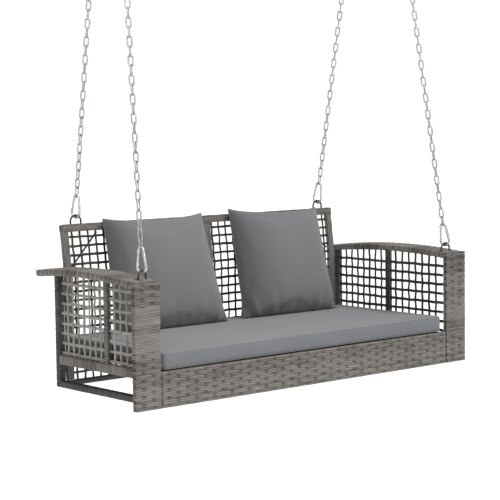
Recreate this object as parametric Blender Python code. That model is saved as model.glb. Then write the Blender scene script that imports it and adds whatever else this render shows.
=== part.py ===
"""Hanging porch swing for two: woven frame on four chains, seat cushion and two pillows.

Metres, +Z up, +X to the sitter's left, the seat faces -Y. The origin is under the middle of the
swing, at the height of the front posts' bottoms. The two ceiling hooks hold everything up.
"""

import math

import bmesh
import bpy
from mathutils import Matrix, Vector

# Gap that neighbouring pieces keep.
GAP = 0.0003

# Overall size of the woven frame.
WIDTH = 1.500
FRONT = -0.3025
DEPTH = 0.580
ARM_HEIGHT = 0.400
BACK_HEIGHT = 0.548
SIDES = {"left": -1, "right": 1}

# Front posts and the apron between them.
POST_WIDTH = 0.100
POST_DEPTH = 0.020
APRON_HEIGHT = 0.113
APRON_SEAM = 0.0015

# Arm side frames: wrapped tubes in one upright plane under each armrest.
ARM_TUBE = 0.025
ARM_INSET = 0.0915
ARM_LIFT = 0.001
BOTTOM_RAIL_HEIGHT = 0.022
SEAT_RAIL_LOW = 0.0795
SEAT_RAIL_HIGH = 0.110
LEG_REAR = 0.5775
MID_POST_FRONT = 0.279
MID_POST_SIZE = (0.017, 0.023)

# Armrest: a flat slab that arches up from its front end and slants inward towards its rear end.
SLAB_THICKNESS = 0.022
SLAB_SLANT = 0.023
SLAB_RISE = 0.0165
SLAB_PEAK = 0.300
SLAB_STEPS = 16

# Backrest: one panel, upright between the rear legs and leaning back above its bend.
BACK_TILT = math.radians(7.2)
BACK_UPRIGHT = FRONT + 0.566
BACK_MIDDLE = FRONT + 0.5871
BACK_BEND = BACK_HEIGHT - (BACK_MIDDLE - BACK_UPRIGHT) / math.tan(BACK_TILT)
BACK_HALF_WIDTH = 0.621
BACK_BOTTOM = 0.001
BACK_RAIL_HEIGHT = 0.026
BACK_RAIL_DEPTH = 0.026
STILE_WIDTH = 0.024
STILE_DEPTH = 0.020
MID_STILE_WIDTH = 0.036
BOTTOM_RAIL_SIZE = 0.018
BRACE_RADIUS = 0.0035
BRACE_REACH = 0.125
BRACE_GAP = 0.0016
BRACKET_HEIGHT = 0.028
BRACKET_LENGTH = 0.018

# Open strand panels of the arms and the backrest.
PANEL_THICKNESS = 0.005
PANEL_PITCH = 0.052
PANEL_STRAND = 0.014

# Seat frame and the woven deck that carries the cushion.
SEAT_TUBE = 0.024
SEAT_TUBE_LOW = 0.085
SEAT_REAR = FRONT + 0.545
DECK_THICKNESS = 0.006
CROSS_BAR_X = 0.21

# Soft goods.
CUSHION_SIZE = (1.274, 0.547, 0.0605)
CUSHION_LOW = 0.116
CUSHION_CORNER = 0.022
PILLOW_WIDTH = 0.440
PILLOW_HEIGHT = 0.395
PILLOW_THICKNESS = 0.096
PILLOW_LEAN = math.radians(16)
PILLOW_MIDDLE = FRONT + 0.490
PILLOW_X = {"left": -0.247, "right": 0.300}

# Hanging hardware.
EYE_WIRE = 0.0032
EYE_SPACING = 0.042
EYE_HEIGHT = 0.031
EYE_TURN = {"front_left": math.radians(20)}
FRONT_EYE_X = 0.688
FRONT_EYE_Y = FRONT + 0.042
BACK_EYE_X = 0.559
HOOK_WIRE = 0.0046
HOOK_WIDE_RADIUS = 0.0165
HOOK_NARROW_RADIUS = 0.0095
HOOK_LENGTH = 0.052
HOOK_TURN = math.radians(18)
GATE_RADIUS = 0.0037
CHAIN_RADIUS = 0.0033
RING_RADIUS = 0.025
RING_WIRE = 0.004
RING_CENTRE = (0.589, FRONT + 0.287, 2.309)
CEILING_WIRE = 0.005
CEILING_BEND = 0.014
CEILING_DROP = 0.050
PLATE_SIZE = 0.080
PLATE_THICKNESS = 0.005
PLATE_HOLE = 0.0026
PLATE_HOLE_SPACING = 0.056

# Colour, roughness and metallic value of each material.
MATERIALS = {
    "wicker": ((0.235, 0.215, 0.200), 0.62, 0.0),
    "dark_wicker": ((0.085, 0.080, 0.075), 0.60, 0.0),
    "black_steel": ((0.020, 0.020, 0.022), 0.45, 0.6),
    "zinc_steel": ((0.620, 0.630, 0.640), 0.30, 1.0),
    "cushion_cloth": ((0.270, 0.275, 0.275), 0.90, 0.0),
    "pillow_cloth": ((0.205, 0.205, 0.215), 0.90, 0.0),
}


def clear_scene():
    for obj in list(bpy.data.objects):
        bpy.data.objects.remove(obj, do_unlink=True)


def make_material(name):
    colour, roughness, metallic = MATERIALS[name]
    material = bpy.data.materials.new(name)
    material.use_nodes = True
    shader = material.node_tree.nodes["Principled BSDF"]
    shader.inputs["Base Color"].default_value = (*colour, 1.0)
    shader.inputs["Roughness"].default_value = roughness
    shader.inputs["Metallic"].default_value = metallic
    return material


def add_object(name, mesh, material, parent=None):
    obj = bpy.data.objects.new(name, mesh)
    bpy.context.scene.collection.objects.link(obj)
    mesh.materials.append(bpy.data.materials[material])
    obj.parent = parent
    return obj


def finished_mesh(name, shape):
    bmesh.ops.recalc_face_normals(shape, faces=shape.faces)
    mesh = bpy.data.meshes.new(name)
    shape.to_mesh(mesh)
    shape.free()
    return mesh


def shade_round(mesh, angle=35):
    mesh.shade_smooth()
    mesh.set_sharp_from_angle(angle=math.radians(angle))


def add_bevel(obj, width, segments=2):
    bevel = obj.modifiers.new("rounded_edges", "BEVEL")
    bevel.width = width
    bevel.segments = segments
    bevel.limit_method = "ANGLE"
    bevel.angle_limit = math.radians(40)


def add_bar(name, low, high, material, rounding=0.005, parent=None):
    """A straight member with rounded edges, from its low corner to its high corner."""
    low, high = Vector(low), Vector(high)
    size = high - low
    shape = bmesh.new()
    bmesh.ops.create_cube(shape, size=1.0, matrix=Matrix.Diagonal((*size, 1.0)))
    mesh = finished_mesh(name, shape)
    obj = add_object(name, mesh, material, parent)
    obj.location = (low + high) / 2
    add_bevel(obj, rounding)
    shade_round(mesh)
    return obj


def ring_of_points(centre, side, up, radius, sides):
    turns = [2 * math.pi * i / sides for i in range(sides)]
    return [centre + radius * (math.cos(a) * side + math.sin(a) * up) for a in turns]


def add_wire(name, path, radius, material, normal, sides=8, closed=False):
    """A round wire along a flat path; normal is the direction square to the path's plane."""
    path = [Vector(point) for point in path]
    normal = Vector(normal).normalized()
    count = len(path)
    shape = bmesh.new()
    rings = []
    for i, point in enumerate(path):
        before = path[i - 1] if i > 0 or closed else path[0]
        after = path[(i + 1) % count] if i < count - 1 or closed else path[-1]
        along = (after - before).normalized()
        points = ring_of_points(point, along.cross(normal), normal, radius, sides)
        rings.append([shape.verts.new(p) for p in points])
    for i in range(count if closed else count - 1):
        ring, following = rings[i], rings[(i + 1) % count]
        for j in range(sides):
            k = (j + 1) % sides
            shape.faces.new((ring[j], ring[k], following[k], following[j]))
    if not closed:
        shape.faces.new(rings[0])
        shape.faces.new(rings[-1])
    mesh = finished_mesh(name, shape)
    shade_round(mesh, 50)
    return add_object(name, mesh, material)


def arc(centre, right, up, radius, start, end, steps):
    """Points on a circle, from angle start to angle end in degrees."""
    angles = [math.radians(start + (end - start) * i / steps) for i in range(steps + 1)]
    return [centre + radius * (math.cos(a) * right + math.sin(a) * up) for a in angles]


def slab_top(y):
    """Height of the armrest's top at this distance behind the front face."""
    return ARM_HEIGHT + SLAB_RISE * (1 - ((y - SLAB_PEAK) / SLAB_PEAK) ** 2)


def add_armrest(name, side):
    shape = bmesh.new()
    sections = []
    for i in range(SLAB_STEPS + 1):
        y = DEPTH * i / SLAB_STEPS
        top = slab_top(y)
        outer = WIDTH / 2 - SLAB_SLANT * y / DEPTH
        inner = outer - POST_WIDTH
        corners = ((inner, top), (outer, top), (outer, top - SLAB_THICKNESS), (inner, top - SLAB_THICKNESS))
        sections.append([shape.verts.new((side * x, FRONT + y, z)) for x, z in corners])
    for here, following in zip(sections, sections[1:]):
        for j in range(4):
            k = (j + 1) % 4
            shape.faces.new((here[j], here[k], following[k], following[j]))
    shape.faces.new(sections[0])
    shape.faces.new(sections[-1])
    mesh = finished_mesh(name, shape)
    obj = add_object(name, mesh, "wicker")
    add_bevel(obj, 0.006)
    shade_round(mesh)


def add_strand_panel(name, low, high, material, across="X"):
    """A grille of crossing strands between two corners. across is its level axis.

    A panel across Y is flat. One across X follows the backrest, and its z is the rise up the backrest.
    """
    low, high = Vector(low), Vector(high)
    length = (high.x - low.x) if across == "X" else (high.y - low.y)
    height = high.z - low.z
    half_strand = PANEL_STRAND / 2
    columns = max(2, round(length / PANEL_PITCH))
    rows = max(2, round(height / PANEL_PITCH))
    us = strand_edges(length, columns, half_strand)
    vs = strand_edges(height, rows, half_strand)
    shape = bmesh.new()
    grid = [[shape.verts.new((u, 0, v)) for v in vs] for u in us]
    for i in range(len(us) - 1):
        for j in range(len(vs) - 1):
            is_hole = i % 2 == 1 and j % 2 == 1
            if not is_hole:
                shape.faces.new((grid[i][j], grid[i + 1][j], grid[i + 1][j + 1], grid[i][j + 1]))
    solid = bmesh.ops.extrude_face_region(shape, geom=shape.faces[:])
    lifted = [item for item in solid["geom"] if isinstance(item, bmesh.types.BMVert)]
    bmesh.ops.translate(shape, verts=lifted, vec=(0, PANEL_THICKNESS, 0))
    for vert in shape.verts:
        along, out, up = vert.co.x, vert.co.y - PANEL_THICKNESS / 2, vert.co.z
        if across == "X":
            vert.co = (low.x + along, *back_place(low.z + up, out))
        else:
            vert.co = (low.x + out, low.y + along, low.z + up)
    shape.normal_update()
    flat = [edge for edge in shape.edges if len(edge.link_faces) == 2 and edge.calc_face_angle(0) < 0.01]
    bmesh.ops.dissolve_edges(shape, edges=flat, use_verts=True)
    bmesh.ops.triangulate(shape, faces=shape.faces[:])
    add_object(name, finished_mesh(name, shape), material)


def strand_edges(length, cells, half_strand):
    """Both edges of every strand along a panel, with a strand at each end and even cells between."""
    pitch = (length - 2 * half_strand) / cells
    edges = []
    for i in range(cells + 1):
        middle = half_strand + pitch * i
        edges += [middle - half_strand, middle + half_strand]
    return edges


def arm_plane(side):
    """The low and high x of an arm's side frame."""
    outer = side * (WIDTH / 2 - ARM_INSET)
    inner = outer - side * ARM_TUBE
    return min(outer, inner), max(outer, inner)


def add_arm(name, side):
    low_x, high_x = arm_plane(side)
    post_low, post_high = sorted((side * WIDTH / 2, side * (WIDTH / 2 - POST_WIDTH)))
    start = FRONT + POST_DEPTH + GAP
    leg = FRONT + LEG_REAR - ARM_TUBE
    mid_low = FRONT + MID_POST_FRONT
    mid_high = mid_low + MID_POST_SIZE[1]
    middle = (low_x + high_x) / 2

    post_top = slab_top(0) - SLAB_THICKNESS - GAP
    mid_top = slab_top(MID_POST_FRONT) - SLAB_THICKNESS - GAP
    leg_top = slab_top(LEG_REAR) - SLAB_THICKNESS - GAP
    add_bar(f"front_post_{name}", (post_low, FRONT, 0), (post_high, FRONT + POST_DEPTH, post_top), "wicker", 0.004)
    add_bar(f"back_leg_{name}", (low_x, leg, ARM_LIFT), (high_x, FRONT + LEG_REAR, leg_top), "dark_wicker", 0.006)
    add_bar(
        f"mid_post_{name}",
        (middle - MID_POST_SIZE[0] / 2, mid_low, SEAT_RAIL_HIGH + GAP),
        (middle + MID_POST_SIZE[0] / 2, mid_high, mid_top),
        "dark_wicker",
        0.004,
    )
    add_bar(
        f"arm_seat_rail_{name}",
        (low_x, start, SEAT_RAIL_LOW),
        (high_x, leg - GAP, SEAT_RAIL_HIGH),
        "wicker",
    )
    add_bar(
        f"arm_bottom_rail_{name}",
        (low_x, start, ARM_LIFT),
        (high_x, leg - GAP, ARM_LIFT + BOTTOM_RAIL_HEIGHT),
        "dark_wicker",
    )
    add_armrest(f"armrest_{name}", side)

    panel_low = SEAT_RAIL_HIGH + GAP
    front_top = slab_top(POST_DEPTH) - SLAB_THICKNESS - 2 * GAP
    rear_top = slab_top(LEG_REAR - ARM_TUBE) - SLAB_THICKNESS - 2 * GAP
    add_strand_panel(
        f"arm_lattice_front_{name}", (middle, start, panel_low), (middle, mid_low - GAP, front_top), "wicker", across="Y"
    )
    add_strand_panel(
        f"arm_lattice_rear_{name}",
        (middle, mid_high + GAP, panel_low),
        (middle, leg - GAP, rear_top),
        "wicker",
        across="Y",
    )


def back_place(rise, behind=0.0):
    """The y and z of a point at a rise up the backrest from its bottom, and behind its middle plane."""
    past_bend = BACK_BOTTOM + rise - BACK_BEND
    if abs(past_bend) < 1e-9:
        return BACK_UPRIGHT + behind, BACK_BEND - behind * math.tan(BACK_TILT / 2)
    if past_bend < 0:
        return BACK_UPRIGHT + behind, BACK_BOTTOM + rise
    y = BACK_UPRIGHT + past_bend * math.sin(BACK_TILT) + behind * math.cos(BACK_TILT)
    return y, BACK_BEND + past_bend * math.cos(BACK_TILT) - behind * math.sin(BACK_TILT)


def add_back_post(name, low_x, high_x, low, high):
    """An upright member of the backrest between two rises, bent where the backrest bends."""
    half = STILE_DEPTH / 2
    shape = bmesh.new()
    sections = []
    for rise in (low, BACK_BEND - BACK_BOTTOM, high):
        front, rear = back_place(rise, -half), back_place(rise, half)
        corners = ((low_x, *front), (high_x, *front), (high_x, *rear), (low_x, *rear))
        sections.append([shape.verts.new(corner) for corner in corners])
    for here, following in zip(sections, sections[1:]):
        for j in range(4):
            k = (j + 1) % 4
            shape.faces.new((here[j], here[k], following[k], following[j]))
    shape.faces.new(sections[0])
    shape.faces.new(sections[-1])
    mesh = finished_mesh(name, shape)
    post = add_object(name, mesh, "wicker")
    add_bevel(post, 0.004)
    shade_round(mesh)


def add_backrest():
    """The back panel. Its top rail and braces are placed in the frame of an empty on the lean."""
    lean = bpy.data.objects.new("backrest_lean", None)
    bpy.context.scene.collection.objects.link(lean)
    lean.location = (0, BACK_MIDDLE, BACK_HEIGHT)
    lean.rotation_euler = (-BACK_TILT, 0, 0)

    half_width = BACK_HALF_WIDTH
    top = -BACK_RAIL_DEPTH / 2 * math.sin(BACK_TILT)
    rail_low = top - BACK_RAIL_HEIGHT
    half_rail = BACK_RAIL_DEPTH / 2
    half_base = BOTTOM_RAIL_SIZE / 2
    add_bar("back_top_rail", (-half_width, -half_rail, rail_low), (half_width, half_rail, top), "wicker", 0.006, lean)
    add_bar(
        "back_bottom_rail",
        (-half_width, BACK_UPRIGHT - half_base, BACK_BOTTOM),
        (half_width, BACK_UPRIGHT + half_base, BACK_BOTTOM + BOTTOM_RAIL_SIZE),
        "dark_wicker",
        0.004,
    )

    low = BOTTOM_RAIL_SIZE + GAP
    high = BACK_BEND - BACK_BOTTOM + (BACK_HEIGHT - BACK_BEND) / math.cos(BACK_TILT) + rail_low - GAP
    half_mid = MID_STILE_WIDTH / 2
    add_back_post("back_mid_stile", -half_mid, half_mid, low, high)
    for name, side in SIDES.items():
        stile = sorted((side * half_width, side * (half_width - STILE_WIDTH)))
        add_back_post(f"back_stile_{name}", *stile, low, high)
        panel = sorted((side * (half_mid + GAP), side * (half_width - STILE_WIDTH - GAP)))
        add_strand_panel(f"back_lattice_{name}", (panel[0], 0, low), (panel[1], 0, high), "dark_wicker")
        add_brace(name, side, rail_low, lean)


def add_brace(name, side, rail_low, lean):
    """A thin rod across an upper corner, behind the strands, from the top rail down to the stile."""
    behind = PANEL_THICKNESS / 2 + BRACE_RADIUS + BRACE_GAP
    stile_face = BACK_HALF_WIDTH - STILE_WIDTH
    inset = 1.5 * BRACE_RADIUS
    upper_end = Vector((side * (stile_face - BRACE_REACH), behind, rail_low - inset))
    lower_end = Vector((side * (stile_face - inset), behind, rail_low - BRACE_REACH))
    brace = add_wire(f"back_brace_{name}", (upper_end, lower_end), BRACE_RADIUS, "black_steel", (0, 1, 0))
    brace.parent = lean


def add_seat():
    inner = WIDTH / 2 - POST_WIDTH
    apron_half = inner - APRON_SEAM
    add_bar("front_apron", (-apron_half, FRONT, 0), (apron_half, FRONT + POST_DEPTH, APRON_HEIGHT), "wicker", 0.004)

    reach = arm_plane(1)[0] - GAP
    low, high = SEAT_TUBE_LOW, SEAT_TUBE_LOW + SEAT_TUBE
    front_low = FRONT + POST_DEPTH + GAP
    front_high = front_low + SEAT_TUBE
    rear_low = SEAT_REAR - SEAT_TUBE
    add_bar("seat_front_rail", (-reach, front_low, low), (reach, front_high, high), "dark_wicker")
    add_bar("seat_rear_rail", (-reach, rear_low, low), (reach, SEAT_REAR, high), "dark_wicker")
    for name, side in SIDES.items():
        middle = side * CROSS_BAR_X
        add_bar(
            f"seat_cross_bar_{name}",
            (middle - SEAT_TUBE / 2, front_high + GAP, low),
            (middle + SEAT_TUBE / 2, rear_low - GAP, high),
            "dark_wicker",
        )
    add_bar(
        "seat_deck",
        (-reach, front_low, high + GAP),
        (reach, SEAT_REAR, high + GAP + DECK_THICKNESS),
        "dark_wicker",
        0.002,
    )


def add_back_brackets():
    """Flat steel plates that bolt the backrest's stiles to the arms' rear legs, high and low."""
    for name, side in SIDES.items():
        leg_face = arm_plane(1)[0] - GAP
        low, high = sorted((side * (BACK_HALF_WIDTH + GAP), side * leg_face))
        for level, middle in (("high", 0.300), ("low", 0.060)):
            add_bar(
                f"back_bracket_{level}_{name}",
                (low, BACK_UPRIGHT - BRACKET_LENGTH / 2, middle - BRACKET_HEIGHT / 2),
                (high, BACK_UPRIGHT + BRACKET_LENGTH / 2, middle + BRACKET_HEIGHT / 2),
                "black_steel",
                0.003,
            )


def add_soft_goods():
    width, depth, height = CUSHION_SIZE
    front = FRONT + 0.006
    shape = bmesh.new()
    size = Matrix.Diagonal((width, depth, height, 1.0))
    bmesh.ops.create_cube(shape, size=1.0, matrix=size)
    upright = [edge for edge in shape.edges if abs(edge.verts[0].co.z - edge.verts[1].co.z) > height / 2]
    bmesh.ops.bevel(shape, geom=upright, offset=CUSHION_CORNER, segments=4, affect="EDGES", profile=0.5)
    mesh = finished_mesh("seat_cushion", shape)
    cushion = add_object("seat_cushion", mesh, "cushion_cloth")
    cushion.location = (0, front + depth / 2, CUSHION_LOW + height / 2)
    add_bevel(cushion, 0.008)
    shade_round(mesh)
    for name in SIDES:
        add_pillow(name)


def add_pillow(name, cells=10):
    """A square knife-edge pillow: two domed faces that meet at a thin edge with pointed corners."""
    shape = bmesh.new()
    levels = [-1 + 2 * i / cells for i in range(cells + 1)]
    faces_by_side = []
    for side in (-1, 1):
        rows = []
        for u in levels:
            row = []
            for v in levels:
                dome = ((1 - u ** 4) * (1 - v ** 4)) ** 0.5
                pull = 1 - 0.05 * (1 - abs(u * v)) * max(abs(u), abs(v)) ** 3
                y = side * (0.003 + (PILLOW_THICKNESS / 2 - 0.003) * dome)
                row.append(shape.verts.new((u * pull * PILLOW_WIDTH / 2, y, v * pull * PILLOW_HEIGHT / 2)))
            rows.append(row)
        faces_by_side.append(rows)
        for i in range(cells):
            for j in range(cells):
                shape.faces.new((rows[i][j], rows[i + 1][j], rows[i + 1][j + 1], rows[i][j + 1]))
    front, rear = faces_by_side
    rim = [(i, 0) for i in range(cells)] + [(cells, j) for j in range(cells)]
    rim += [(i, cells) for i in range(cells, 0, -1)] + [(0, j) for j in range(cells, 0, -1)]
    for (i, j), (k, m) in zip(rim, rim[1:] + rim[:1]):
        shape.faces.new((front[i][j], front[k][m], rear[k][m], rear[i][j]))
    mesh = finished_mesh(f"pillow_{name}", shape)
    pillow = add_object(f"pillow_{name}", mesh, "pillow_cloth")
    half_height = PILLOW_HEIGHT / 2
    cushion_top = CUSHION_LOW + CUSHION_SIZE[2]
    pillow.rotation_euler = (-PILLOW_LEAN, 0, 0)
    pillow.location = (PILLOW_X[name], PILLOW_MIDDLE, cushion_top + 0.004 + half_height * math.cos(PILLOW_LEAN))
    shade_round(mesh, 60)


def add_eye(name, x, y, base):
    """A black U-shaped eye that stands on the frame, its legs side by side."""
    half = EYE_SPACING / 2
    foot = Vector((x, y, base + GAP))
    shoulder = Vector((x, y, base + EYE_HEIGHT - EYE_WIRE - half))
    up = Vector((0, 0, 1))
    right = Matrix.Rotation(EYE_TURN.get(name, 0.0), 3, "Z") @ Vector((1, 0, 0))
    path = [foot + half * right] + arc(shoulder, right, up, half, 0, 180, 10) + [foot - half * right]
    add_wire(f"eye_{name}", path, EYE_WIRE, "black_steel", up.cross(right))
    return shoulder + half * up


def add_snap_hook(name, eye_top, ring_centre):
    """A pear-shaped snap hook, wide end down round the eye, with its hinged gate. Returns its top point."""
    along = (ring_centre - eye_top).normalized()
    turned = Matrix.Rotation(HOOK_TURN, 3, "Z") @ Vector((0, 1, 0))
    across = (turned - turned.dot(along) * along).normalized()
    normal = across.cross(along)
    wide, narrow = HOOK_WIDE_RADIUS, HOOK_NARROW_RADIUS
    low_centre = eye_top + (wide - EYE_WIRE - HOOK_WIRE - GAP) * along
    high_centre = low_centre + HOOK_LENGTH * along

    flare = math.asin((wide - narrow) / HOOK_LENGTH)
    degrees = math.degrees(flare)
    spine_low = low_centre + wide * (-math.cos(flare) * across + math.sin(flare) * along)
    gate_low = low_centre + wide * (math.cos(flare) * across + math.sin(flare) * along)
    gate_high = high_centre + narrow * (math.cos(flare) * across + math.sin(flare) * along)
    gate_line = (gate_high - gate_low).normalized()
    side_length = (gate_high - gate_low).length
    nose = gate_low + 0.10 * side_length * gate_line
    pivot = gate_low + 0.84 * side_length * gate_line
    stub = pivot + (GATE_RADIUS + 0.0006) * gate_line

    body = [stub, gate_high]
    body += arc(high_centre, across, along, narrow, degrees, 180 - degrees, 8)[1:]
    body += [spine_low]
    body += arc(low_centre, across, along, wide, 180 - degrees, 360 + degrees, 12)[1:]
    body += [nose]
    add_wire(f"snap_hook_{name}", body, HOOK_WIRE, "zinc_steel", normal)

    gate_length = (pivot - nose).length - 0.0006
    add_gate(name, pivot, gate_line, normal, gate_length)
    return high_centre + narrow * along, along


def add_gate(name, pivot, upward, normal, length, sides=8, cap_steps=3):
    """The snap hook's gate: a round bar with a domed upper end, its origin on its hinge axis."""
    shape = bmesh.new()
    bmesh.ops.create_cone(
        shape, cap_ends=True, segments=sides, radius1=GATE_RADIUS, radius2=GATE_RADIUS, depth=length,
        matrix=Matrix.Translation((0, 0, -length / 2)),
    )
    crown = [face for face in shape.faces if face.normal.z > 0.9]
    for i in range(1, cap_steps + 1):
        angle = math.radians(90 * i / (cap_steps + 0.5))
        bmesh.ops.inset_region(shape, faces=crown, thickness=0, depth=0)
        for vert in {vert for face in crown for vert in face.verts}:
            flat = Vector((vert.co.x, vert.co.y, 0)).normalized()
            vert.co = GATE_RADIUS * (math.cos(angle) * flat + Vector((0, 0, math.sin(angle))))
    mesh = finished_mesh(f"gate_{name}", shape)
    shade_round(mesh, 50)
    gate = add_object(f"gate_{name}", mesh, "zinc_steel")
    turn = Matrix((normal, upward.cross(normal), upward)).transposed()
    gate.matrix_world = Matrix.Translation(pivot) @ turn.to_4x4()


def add_chain(name, hook_top, along, ring_centre):
    """The stretch of one chain, as a round bar of the chain's own weight."""
    start = hook_top + (HOOK_WIRE + 0.0006) * along
    direction = (ring_centre - start).normalized()
    end = ring_centre - (RING_RADIUS + RING_WIRE + 0.0008) * direction
    add_wire(f"chain_{name}", (start, end), CHAIN_RADIUS, "zinc_steel", direction.orthogonal())


def add_ring(name, centre):
    right, up = Vector((0, 1, 0)), Vector((0, 0, 1))
    path = arc(centre, right, up, RING_RADIUS, 0, 360, 24)[:-1]
    add_wire(f"top_ring_{name}", path, RING_WIRE, "zinc_steel", (1, 0, 0), closed=True)


def add_ceiling_hook(name, side, ring_centre):
    """A screw plate with a welded open hook. The swing turns about the hook's lowest stretch."""
    rest = ring_centre + Vector((0, 0, RING_RADIUS - RING_WIRE - CEILING_WIRE - GAP))
    bend = rest + Vector((0, 0, CEILING_BEND))
    outward, up = Vector((side, 0, 0)), Vector((0, 0, 1))
    plate_low = rest.z + CEILING_DROP
    shank_top = Vector((rest.x + side * CEILING_BEND, rest.y, plate_low + PLATE_THICKNESS / 2))
    path = [shank_top] + arc(bend, outward, up, CEILING_BEND, 0, -205, 14)
    hook = add_wire(f"ceiling_hook_{name}", path, CEILING_WIRE, "zinc_steel", (0, 1, 0))

    shape = bmesh.new()
    size = Matrix.Diagonal((PLATE_SIZE, PLATE_SIZE, PLATE_THICKNESS, 1.0))
    bmesh.ops.create_cube(shape, size=1.0, matrix=size)
    upright = [edge for edge in shape.edges if abs(edge.verts[0].co.z - edge.verts[1].co.z) > PLATE_THICKNESS / 2]
    bmesh.ops.bevel(shape, geom=upright, offset=0.010, segments=3, affect="EDGES", profile=0.5)
    plate = add_object(f"plate_tool_{name}", finished_mesh(f"plate_tool_{name}", shape), "zinc_steel")
    plate.location = (rest.x, rest.y, plate_low + PLATE_THICKNESS / 2)
    add_helper(hook, plate, "UNION")
    for i, j in ((-1, -1), (-1, 1), (1, -1), (1, 1)):
        hole = bmesh.new()
        bmesh.ops.create_cone(
            hole, cap_ends=True, segments=12, radius1=PLATE_HOLE, radius2=PLATE_HOLE, depth=4 * PLATE_THICKNESS
        )
        tool_name = f"screw_tool_{name}_{i + 1}{j + 1}"
        drill = add_object(tool_name, finished_mesh(tool_name, hole), "zinc_steel")
        drill.location = plate.location + PLATE_HOLE_SPACING / 2 * Vector((i, j, 0))
        add_helper(hook, drill, "DIFFERENCE")


def add_helper(target, helper, operation):
    """Joins or cuts with a helper object, which is then hidden."""
    boolean = target.modifiers.new(helper.name, "BOOLEAN")
    boolean.operation = operation
    boolean.solver = "EXACT"
    boolean.object = helper
    helper.hide_render = True
    helper.display_type = "WIRE"


def add_hanging_gear():
    for name, side in SIDES.items():
        ring_centre = Vector((side * RING_CENTRE[0], RING_CENTRE[1], RING_CENTRE[2]))
        add_ring(name, ring_centre)
        add_ceiling_hook(name, side, ring_centre)
        front_base = slab_top(FRONT_EYE_Y - FRONT + 0.006) + 0.0004
        spots = {
            f"front_{name}": (side * FRONT_EYE_X, FRONT_EYE_Y, front_base),
            f"back_{name}": (side * BACK_EYE_X, BACK_MIDDLE, BACK_HEIGHT + 0.0002),
        }
        for corner, spot in spots.items():
            eye_top = add_eye(corner, *spot)
            hook_top, along = add_snap_hook(corner, eye_top, ring_centre)
            add_chain(corner, hook_top, along, ring_centre)


def main():
    clear_scene()
    for name in MATERIALS:
        make_material(name)
    for name, side in SIDES.items():
        add_arm(name, side)
    add_backrest()
    add_seat()
    add_back_brackets()
    add_soft_goods()
    add_hanging_gear()


main()
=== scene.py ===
"""Looks of the hanging porch swing: woven strips, cloth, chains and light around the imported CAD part.

Metres, in the CAD part's frame: +Z up, +X to the sitter's left, the seat faces -Y.
"""

import math

import bpy
import numpy as np
from mathutils import Matrix, Vector


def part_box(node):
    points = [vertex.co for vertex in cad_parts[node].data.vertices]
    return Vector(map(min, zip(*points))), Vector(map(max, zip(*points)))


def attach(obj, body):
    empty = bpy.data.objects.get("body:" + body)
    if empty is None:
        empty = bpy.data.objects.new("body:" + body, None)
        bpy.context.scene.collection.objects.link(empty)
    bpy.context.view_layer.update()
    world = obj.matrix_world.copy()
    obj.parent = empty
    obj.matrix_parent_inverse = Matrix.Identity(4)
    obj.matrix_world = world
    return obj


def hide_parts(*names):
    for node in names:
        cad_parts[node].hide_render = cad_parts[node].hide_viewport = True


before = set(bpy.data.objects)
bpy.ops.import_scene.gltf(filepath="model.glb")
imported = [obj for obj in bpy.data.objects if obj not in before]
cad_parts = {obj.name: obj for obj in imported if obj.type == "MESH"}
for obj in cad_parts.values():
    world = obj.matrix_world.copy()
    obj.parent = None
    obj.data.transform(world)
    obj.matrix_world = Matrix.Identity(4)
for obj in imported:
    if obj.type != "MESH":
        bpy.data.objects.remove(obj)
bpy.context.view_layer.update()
SIDES = {"left": -1, "right": 1}

# Resin strips: pitch and crown, the grooves between them, how far a strip goes in and out as it passes
# a stake, how strips stray, and how finely a cover is divided. LET_IN is how far a part's end goes into
# its neighbour.
STRIP_PITCH = 0.0063
STRIP_CROWN = 0.0009
GROOVE_DEPTH = 0.0008
# GROOVE_SHADE and NOTCH_SHADE are painted shade: darker colour in the grooves between strips and where a
# strip sinks behind a stake.
GROOVE_SHADE = (1.0, 0.15)
NOTCH_SHADE = 0.62
ROW_FRACTIONS = (0.0, 0.2, 0.5, 0.8)
WEAVE_OUT = 0.0007
WEAVE_IN = 0.0020
PAIR_SPREAD = 0.0016
WANDER = 0.0004
WANDER_RATE = 90
WANDER_PHASE = 5
WANDER_FADE = 0.02
STRIP_LIFT = 0.00018
END_ROUNDING = 0.002
SLEEVE_CORNER = 0.003
CORNER_MARGIN = 0.0005
SLEEVE_STEP = 0.009
BACK_STEP = 0.006
FINE_STEP = 0.004
LET_IN = 0.004

# Armrest arch and slant and the backrest's bend, as in the CAD part.
FRONT = -0.3025
ARM_MIDDLE = 0.700
ARM_WIDTH = 0.100
ARM_LENGTH = 0.580
SLAB_THICKNESS = 0.022
SLAB_SLANT = 0.023
SLAB_START = 0.010
POST_DEPTH = 0.020
BACK_RAIL_HEIGHT = 0.026
SLAB_PEAK = 0.300
SLAB_RISE = 0.0165
ARM_HEIGHT = 0.400
BACK_TILT = math.radians(7.2)
BACK_UPRIGHT = FRONT + 0.566
BACK_MIDDLE = FRONT + 0.5871
BACK_HEIGHT = 0.548
BACK_BEND = BACK_HEIGHT - (BACK_MIDDLE - BACK_UPRIGHT) / math.tan(BACK_TILT)
BEND_SPREAD = 0.012

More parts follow.
